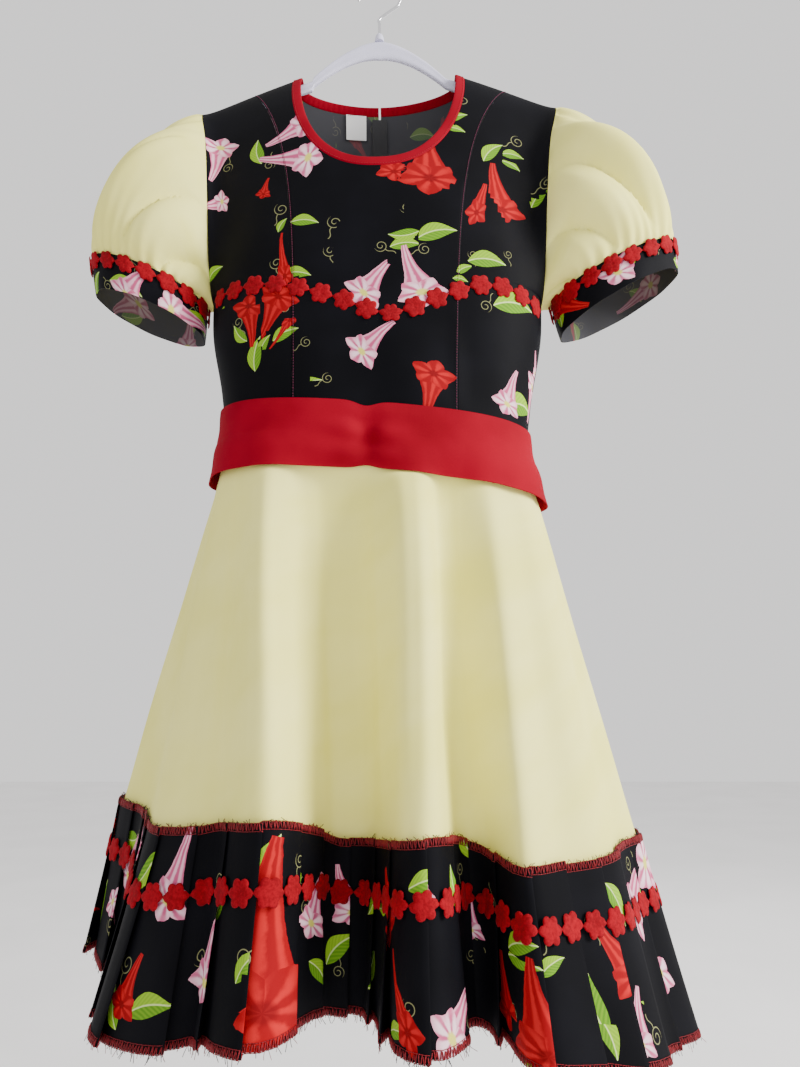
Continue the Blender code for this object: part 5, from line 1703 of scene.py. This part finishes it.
def flounce_flowers(word, first, end):
    """The flowers round the flounce, lying over its pleats' edges."""
    sizes = bpy.context.scene.dress_sizes
    u = np.linspace(first + 0.02, end - 0.02, 1600)
    down = np.full_like(u, TAPE_LEVEL)
    out = outward(u, down, flounce_point)
    opening = (sizes.pleat_open - sizes.pleat_layer) * TAPE_LEVEL**1.3
    layer = sizes.pleat_layer + opening * valley_calm(u, TAPE_LEVEL)
    route = flounce_point(u, down) + out * (sizes.flounce_offset + 1.7 * layer + 0.0010)[:, None]
    up, _ = line_frame(route, flounce_point(u, down * 0) + out * (sizes.flounce_offset + layer)[:, None])
    up *= np.sign(up[:, 2:3])
    flowers = int(run_lengths(route)[-1] / sizes.flower_pitch)
    flower_tape(f"flounce_flowers_{word}", route, up, out, flowers, [f"flounce_trim_{word}"])


def edge_threads(name, grid, row, inner_row, seed):
    """An overlocked edge: slanting threads between the raw edge and a line below it, on the
    cloth's outer side, a cord along the edge, and frayed ends that stand out from it."""
    sizes = bpy.context.scene.dress_sizes
    edge, inner = grid[row], grid[inner_row]
    normal = grid_normals(grid, False)[row]
    length = run_lengths(edge)
    back = unit(inner - edge)

    def at(values, place):
        return sampled(values, length, place)

    draw = np.random.default_rng(seed)
    count = int(length[-1] / sizes.overlock_pitch)
    place = (np.arange(count) + 0.5) * length[-1] / count
    place = place + draw.uniform(-0.3, 0.3, count) * sizes.overlock_pitch
    lean = np.where(np.arange(count) % 2 == 0, 1.0, -0.6) * sizes.overlock_pitch * 0.7
    steps = np.linspace(0, 1, 4)
    deep = sizes.overlock_depth * draw.uniform(0.85, 1.1, count)
    spine = (
        at(edge, place[:, None] + (steps - 0.5) * lean[:, None])
        + at(back, place)[:, None] * (-0.0006 + steps * deep[:, None])[..., None]
        + at(normal, place)[:, None] * (0.0006 + 0.0004 * np.sin(math.pi * steps))[None, :, None]
    )
    strand_tubes(name, spine, 0.00044 * draw.uniform(0.8, 1.2, count), 4, "edge_thread")
    cords = [edge - back * 0.0004 + normal * 0.0004, edge + back * sizes.overlock_depth + normal * 0.0007]
    for part, line in zip(("cord", "needle"), cords):
        place = np.linspace(0, length[-1], int(length[-1] / 0.0022) + 1)
        loops = at(line, place) + at(normal, place) * (0.0003 * np.sin(np.arange(len(place)) * 2.1))[:, None]
        spine = np.stack([loops[:-1], (loops[:-1] + loops[1:]) / 2, loops[1:]], axis=1)
        strand_tubes(f"{name}_{part}", spine, np.full(len(spine), 0.00030), 4, "edge_thread")
    count = int(length[-1] / sizes.fray_pitch)
    place = draw.uniform(0, length[-1], count)
    long = draw.uniform(0.25, 1.0, count) ** 1.6 * sizes.fray_length
    side = unit(at(np.gradient(edge, axis=0), place))
    aim = -at(back, place) + side * draw.normal(0, 0.55, (count, 1))
    aim = aim + at(normal, place) * draw.normal(0.1, 0.35, (count, 1))
    curl_by = side * draw.normal(0, 0.35, (count, 1)) + np.array([0, 0, -0.35])
    steps = np.linspace(0, 1, 4)[None, :, None]
    spine = at(edge, place)[:, None] + aim[:, None] * steps * long[:, None, None]
    spine = spine + curl_by[:, None] * steps**2 * long[:, None, None]
    dark = draw.random(count) < 0.55
    for word, chosen, radius, material, slot in (
        ("dark", dark, 0.00028, "black_thread", "black_print"),
        ("red", ~dark, 0.00022, "edge_thread", "trim_red"),
    ):
        strand_tubes(f"{name}_fray_{word}", spine[chosen], np.full(chosen.sum(), radius), 3, material)


def strand_tubes(name, spine, radius, around, material):
    """Thin strands in one mesh: a ring of a few points round each step of each spine, whose
    plane is square to the strand."""
    tangent = unit(np.gradient(spine, axis=1))
    helper = np.where(np.abs(tangent[..., 2:3]) > 0.8, np.array([1.0, 0, 0]), np.array([0, 0, 1.0]))
    side = unit(np.cross(tangent, helper))
    up = np.cross(side, tangent)
    turn = np.arange(around) * 2 * math.pi / around
    size = radius[:, None, None, None]
    across = side[:, :, None] * np.cos(turn)[:, None] + up[:, :, None] * np.sin(turn)[:, None]
    rings = spine[:, :, None] + size * across
    return tubes(name, rings, material)


def hanger_pieces():
    """The hanger: an oval carried along its arch and arms, its nub, and the wire hook, a
    circle carried along a straight stem that bends into a round bow."""
    arm = np.sin(np.linspace(0, math.pi / 2, 40))[1:]
    half = np.concatenate([np.linspace(0, HANGER_NECK_HALF, 50),
                           HANGER_NECK_HALF + (HANGER_REACH - HANGER_NECK_HALF) * arm])
    x = np.concatenate([-half[:0:-1], half])
    fall = HANGER_CREST_Z - shoulder_z(HANGER_NECK_HALF) + HANGER_BELOW_SEAM
    share = np.clip(np.abs(x) / HANGER_NECK_HALF, 0, 1)
    arch = HANGER_CREST_Z - fall * share**1.7
    top = np.where(np.abs(x) < HANGER_NECK_HALF, arch, shoulder_z(x) - HANGER_BELOW_SEAM)
    tall = HANGER_DEPTH_MIDDLE + (HANGER_DEPTH_ARM - HANGER_DEPTH_MIDDLE) * share
    end = np.sqrt(1 - (np.abs(x) / (HANGER_REACH * 1.004)) ** 16)
    tall = tall * end
    around = circle(40)
    sine, cosine = np.sin(around), np.cos(around)
    rib = 1 - 0.22 * np.exp(-((sine / 0.55) ** 2))
    section = np.stack([
        HANGER_HALF_THICKNESS * end[:, None] * np.sign(cosine) * np.abs(cosine) ** 0.7 * rib,
        0.5 * tall[:, None] * np.sign(sine) * np.abs(sine) ** 0.85,
    ], axis=-1)
    path = np.stack([x, 0 * x, top - tall / 2], axis=-1)
    side = np.broadcast_to([0.0, 1.0, 0.0], path.shape)
    up = np.broadcast_to([0.0, 0.0, 1.0], path.shape)
    piece = carried("hanger_arch", path, side, up, section, [finish("lilac_plastic")])
    on_dress(piece, ["hanger_body"])

    level = np.array([0.0, 0.0012, 0.0035, 0.0060, 0.0080, 0.0094, 0.0100])
    size = np.array([1.0, 1.02, 0.98, 0.90, 0.80, 0.66, 0.40]) * NUB_RADIUS
    path = np.stack([0 * level, 0 * level, HANGER_CREST_Z + level], axis=-1)
    ring = circle(32)
    section = size[:, None, None] * np.stack([np.cos(ring), np.sin(ring)], axis=-1)
    across = np.broadcast_to([1.0, 0.0, 0.0], path.shape)
    piece = carried("hanger_collar", path, across, np.broadcast_to([0.0, 1.0, 0.0], path.shape), section,
                    [finish("lilac_plastic")])
    on_dress(piece, ["hanger_nub"])

    stem = np.array([[0.0, NUB_TOP + 0.0002], [0.0, NUB_TOP + 0.015], [0.0006, NUB_TOP + 0.023]])
    sweep = np.radians(np.linspace(-38, 200, 22))
    radius = HOOK_BOW + HOOK_WIRE
    bow = np.array([0.0, -HOOK_BOW]) + radius * np.stack([np.cos(sweep), np.sin(sweep)], axis=-1)
    route = smooth_route(np.concatenate([stem, bow]), 190)
    path = np.stack([route[:, 0], 0 * route[:, 0], route[:, 1]], axis=-1)
    tangent = unit(np.gradient(path, axis=0))
    side = np.broadcast_to([0.0, 1.0, 0.0], path.shape)
    tip = np.sqrt(np.clip((np.arange(len(path))[::-1]) / 3.0, 0.12, 1))
    ring = circle(20)
    section = HOOK_WIRE * tip[:, None, None] * np.stack([np.cos(ring), np.sin(ring)], axis=-1)
    piece = carried("hanger_wire", path, side, np.cross(side, tangent), section, [finish("chrome_wire")])
    on_dress(piece, ["hanger_hook"])


def smooth_route(points, count):
    """A Catmull-Rom curve through points, sampled at even distances."""
    padded = np.concatenate([[2 * points[0] - points[1]], points, [2 * points[-1] - points[-2]]])
    u = np.linspace(0, len(points) - 1 - 1e-9, 2000)
    k = np.floor(u).astype(int)
    t = (u - k)[:, None]
    curve = catmull_rom(*(padded[k + i] for i in range(4)), t)
    length = run_lengths(curve)
    even = np.linspace(0, length[-1], count)
    return sampled(curve, length, even)


def zip_pieces():
    """The zip's coil as short bars across the gap, its tape and metal with their finishes,
    and the blank label with its row of stitches."""
    z = np.arange(-0.186, WAIST_Z + 0.004, -0.0012)
    across = np.linspace(-0.0017, 0.0017, 3)
    y = cloth_depth(0 * z, z) - 0.0004
    spine = np.stack([across + 0 * z[:, None], y[:, None] + 0.0002 * np.array([-1, 1, -1]),
                      z[:, None] + 0 * across], axis=-1)
    strand_tubes("zip_coil", spine, np.full(len(z), 0.00042), 5, "zip_nylon")
    for node, name in (
        ("zip_tape", "zip_cloth"),
        ("zip_slider", "dark_metal"),
        ("zip_pull_tab", "dark_metal"),
        ("size_label", "label_satin"),
    ):
        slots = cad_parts[node].data.materials
        slots.clear()
        slots.append(finish(name))
    low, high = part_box("size_label")
    x = np.linspace(low.x + 0.0015, high.x - 0.0015, 40)
    route = np.stack([x, np.full_like(x, low.y) + 0.0002, high.z - 0.0015 + 0 * x], axis=-1)
    stitches("label_stitches", route, np.broadcast_to([0.0, -1.0, 0.0], route.shape), 0.0022, 0.0008, 0.00022,
             "black_thread")


def camera():
    """The photograph's camera: in front, low, looking up a little."""
    data = bpy.data.cameras.new("camera")
    data.sensor_fit = "VERTICAL"
    data.sensor_height = 36.0
    data.lens = 36.0 * FOCAL_PIXELS / FRAME_HEIGHT
    data.clip_end = 30.0
    eye = bpy.data.objects.new("camera", data)
    eye.location = CAMERA_PLACE
    eye.rotation_euler = (math.radians(90 + CAMERA_UP_DEGREES), 0.0, 0.0)
    bpy.context.scene.collection.objects.link(eye)
    bpy.context.scene.camera = eye


def area_light(name, place, target, size, power, colour):
    """A soft rectangular light aimed at a point."""
    data = bpy.data.lights.new(name, "AREA")
    data.shape = "RECTANGLE"
    data.size, data.size_y = size
    data.energy = power
    data.color = colour
    lamp = bpy.data.objects.new(name, data)
    lamp.location = place
    away = np.array(place) - np.array(target)
    flat = math.hypot(away[0], away[1])
    lamp.rotation_euler = (math.atan2(flat, away[2]), 0.0, math.atan2(away[0], -away[1]))
    bpy.context.scene.collection.objects.link(lamp)


def stage():
    """A pale floor well below the hem, a pale world, a window's soft light from the right and
    a weak one from behind."""
    signs = ((-1, -1), (1, -1), (1, 1), (-1, 1))
    corners = np.array([(x * FLOOR_HALF, y * FLOOR_HALF, FLOOR_Z) for x, y in signs])
    floor = place_mesh("floor", corners, [[0, 1, 2, 3]], [plain_floor()], False)
    world = bpy.data.worlds.new("pale_room")
    world.use_nodes = True
    background = world.node_tree.nodes["Background"].inputs
    background["Color"].default_value = WORLD_COLOUR
    background["Strength"].default_value = WORLD_STRENGTH
    bpy.context.scene.world = world
    for name, place, size, power, colour in LIGHTS:
        area_light(name, place, LIT_POINT, size, power, colour)
    camera()


def plain_floor():
    """Matt pale flooring with a very faint mottle."""
    nodes = Nodes("pale_floor")
    place = nodes.object_place()
    mottle = nodes.noise(place, 3.0, 3.0)
    return nodes.set(Base_Color=nodes.mix(mottle.ramped(0.3, 0.7), (0.84, 0.83, 0.83), (0.88, 0.87, 0.87)),
                     Roughness=0.85)


def length_setting(name, about, default):
    """A size in metres that a user may change."""
    return bpy.props.FloatProperty(name=name, description=about, default=default, min=0.0, precision=5,
                                   subtype="DISTANCE", unit="LENGTH")


def colour_setting(name, about, default):
    """A linear colour that a user may change."""
    return bpy.props.FloatVectorProperty(name=name, description=about, default=default, size=3, min=0.0,
                                         max=1.0, subtype="COLOR")


class DressSizes(bpy.types.PropertyGroup):
    """Sizes of cloth, tape, pleats and threads."""

    cloth_thickness: length_setting("Cloth", "Thickness of one layer of cloth", 0.0007)
    flower_pitch: length_setting("Flower pitch", "Distance from one flower of the tape to the next", 0.024)
    flower_half: length_setting("Flower radius", "From a flower's middle to the tip of a petal", 0.0116)
    tape_thickness: length_setting("Tape", "Thickness of the flower tape with its nap", 0.0015)
    stitch_length: length_setting("Stitch", "Length of one stitch of the sewing", 0.0028)
    pleat_layer: length_setting("Pleat layer", "Distance between a pleat's layers at the heading", 0.0011)
    pleat_open: length_setting("Pleat opening", "Distance between a pleat's layers at the hem", 0.0046)
    flounce_offset: length_setting("Flounce offset", "From the skirt to the pleats' inner side", 0.0026)
    overlock_pitch: length_setting("Overlock pitch", "Distance between the overlock's threads", 0.0016)
    overlock_depth: length_setting("Overlock depth", "Width of the overlocked edge", 0.0058)
    fray_pitch: length_setting("Fray pitch", "Distance between loose ends at a raw edge", 0.0032)
    fray_length: length_setting("Fray length", "Length of the longest loose ends", 0.0055)
    pleats_front: bpy.props.IntProperty(name="Pleats in front", description="Knife pleats round the front",
                                        default=24, min=4, max=60)
    pleats_back: bpy.props.IntProperty(name="Pleats behind", description="Knife pleats round the back",
                                       default=20, min=4, max=60)


class DressColours(bpy.types.PropertyGroup):
    """Colours of cloth, print, tape and thread."""

    black: colour_setting("Black crepe", "Ground of the printed cloth", (0.0018, 0.0018, 0.0030))
    yellow: colour_setting("Yellow crepe", "Sleeves and skirt", (0.86, 0.82, 0.25))
    yellow_deep: colour_setting("Yellow crepe, deep", "Its deeper shade", (0.82, 0.78, 0.21))
    yellow_pale: colour_setting("Yellow crepe, pale", "Its paler shade", (0.88, 0.84, 0.29))
    red: colour_setting("Red crepe", "Sash and binding", (0.24, 0.0001, 0.011))
    red_deep: colour_setting("Red crepe, deep", "Its deeper shade", (0.20, 0.0001, 0.008))
    red_pale: colour_setting("Red crepe, pale", "Its paler shade", (0.28, 0.0002, 0.013))
    velvet: colour_setting("Tape", "Flower tape", (0.30, 0.0003, 0.008))
    velvet_deep: colour_setting("Tape, deep", "Shadows in its nap", (0.17, 0.0002, 0.004))
    lily_pale: colour_setting("Lily, pale", "Streaks of the pink lilies", (0.74, 0.40, 0.50))
    lily_deep: colour_setting("Lily, deep", "Body of the pink lilies", (0.46, 0.08, 0.18))
    throat: colour_setting("Throat", "Middle of the pink lilies", (0.62, 0.58, 0.12))
    trumpet: colour_setting("Trumpet", "Red lilies", (0.50, 0.012, 0.014))
    trumpet_deep: colour_setting("Trumpet, deep", "Streaks of the red lilies", (0.27, 0.002, 0.005))
    leaf_light: colour_setting("Leaf, light", "Lit half of a leaf", (0.26, 0.46, 0.02))
    leaf_dark: colour_setting("Leaf, dark", "Shaded half of a leaf", (0.07, 0.21, 0.01))
    tendril: colour_setting("Tendril", "Curled stalks", (0.20, 0.20, 0.09))
    plastic: colour_setting("Hanger", "Moulded plastic", (0.60, 0.59, 0.74))
    seam_thread: colour_setting("Seam thread", "Topstitching of the princess seams", (0.22, 0.018, 0.075))
    edge_thread: colour_setting("Edge thread", "Overlock of the flounce", (0.26, 0.0012, 0.008))


class MakeBodice(bpy.types.Operator):
    """Make the printed front, side and back panels"""

    bl_idname = "dress.make_bodice"
    bl_label = "Bodice panels"

    def execute(self, context):
        front_middle_panel(context.scene.dress_sizes.cloth_thickness)
        side_and_back_panels(context.scene.dress_sizes.cloth_thickness)
        return {"FINISHED"}


class MakeBinding(bpy.types.Operator):
    """Make the red binding round the neck and its stitches"""

    bl_idname = "dress.make_binding"
    bl_label = "Neck binding"

    def execute(self, context):
        neck_binding()
        return {"FINISHED"}


class MakeStitching(bpy.types.Operator):
    """Make the topstitching of the bodice"""

    bl_idname = "dress.make_stitching"
    bl_label = "Topstitching"

    def execute(self, context):
        topstitching()
        return {"FINISHED"}


class MakeBustTape(bpy.types.Operator):
    """Make the tape of flowers across the bust"""

    bl_idname = "dress.make_bust_tape"
    bl_label = "Bust tape"

    def execute(self, context):
        bust_tape()
        return {"FINISHED"}


class MakeSleeves(bpy.types.Operator):
    """Make the puff sleeves with their cuffs and flowers"""

    bl_idname = "dress.make_sleeves"
    bl_label = "Sleeves and cuffs"

    def execute(self, context):
        sleeves()
        return {"FINISHED"}


class MakeSash(bpy.types.Operator):
    """Make the red sash with its gathered middle"""

    bl_idname = "dress.make_sash"
    bl_label = "Sash"

    def execute(self, context):
        sash()
        return {"FINISHED"}


class MakeSkirt(bpy.types.Operator):
    """Make the flared skirt in its three panels"""

    bl_idname = "dress.make_skirt"
    bl_label = "Skirt"

    def execute(self, context):
        skirt()
        return {"FINISHED"}


class MakeFlounce(bpy.types.Operator):
    """Make the pleated flounce with its flowers and overlocked edges"""

    bl_idname = "dress.make_flounce"
    bl_label = "Flounce"

    def execute(self, context):
        flounce()
        return {"FINISHED"}


class MakeZip(bpy.types.Operator):
    """Finish the zip and the blank label"""

    bl_idname = "dress.make_zip"
    bl_label = "Zip and label"

    def execute(self, context):
        zip_pieces()
        return {"FINISHED"}


class MakeHanger(bpy.types.Operator):
    """Make the hanger with its collar and wire hook"""

    bl_idname = "dress.make_hanger"
    bl_label = "Hanger"

    def execute(self, context):
        hanger_pieces()
        return {"FINISHED"}


class MakeStage(bpy.types.Operator):
    """Make the floor, lights and camera"""

    bl_idname = "dress.make_stage"
    bl_label = "Stage"

    def execute(self, context):
        stage()
        return {"FINISHED"}


MAKERS = (MakeStage, MakeBodice, MakeBinding, MakeStitching, MakeBustTape, MakeSleeves, MakeSash, MakeSkirt,
          MakeFlounce, MakeZip, MakeHanger)


class DressPanel(bpy.types.Panel):
    """The dress's pieces and settings in the sidebar"""

    bl_idname = "VIEW3D_PT_dress"
    bl_label = "Folk dance dress"
    bl_space_type = "VIEW_3D"
    bl_region_type = "UI"
    bl_category = "Dress"

    def draw(self, context):
        layout = self.layout
        for maker in MAKERS:
            layout.operator(maker.bl_idname)
        for settings in (context.scene.dress_sizes, context.scene.dress_colours):
            box = layout.box()
            for name in settings.__annotations__:
                box.prop(settings, name)


CLASSES = (DressSizes, DressColours, *MAKERS, DressPanel)


def register():
    """Registers the classes and hangs the settings on the scene."""
    for item in CLASSES:
        bpy.utils.register_class(item)
    bpy.types.Scene.dress_sizes = bpy.props.PointerProperty(type=DressSizes)
    bpy.types.Scene.dress_colours = bpy.props.PointerProperty(type=DressColours)


def unregister():
    """Takes the settings and the classes away again."""
    del bpy.types.Scene.dress_colours
    del bpy.types.Scene.dress_sizes
    for item in reversed(CLASSES):
        bpy.utils.unregister_class(item)


def main():
    """Builds every piece in order."""
    register()
    bpy.ops.dress.make_stage()
    bpy.ops.dress.make_bodice()
    bpy.ops.dress.make_binding()
    bpy.ops.dress.make_stitching()
    bpy.ops.dress.make_bust_tape()
    bpy.ops.dress.make_sleeves()
    bpy.ops.dress.make_sash()
    bpy.ops.dress.make_skirt()
    bpy.ops.dress.make_flounce()
    bpy.ops.dress.make_zip()
    bpy.ops.dress.make_hanger()


if __name__ == "__main__":
    main()
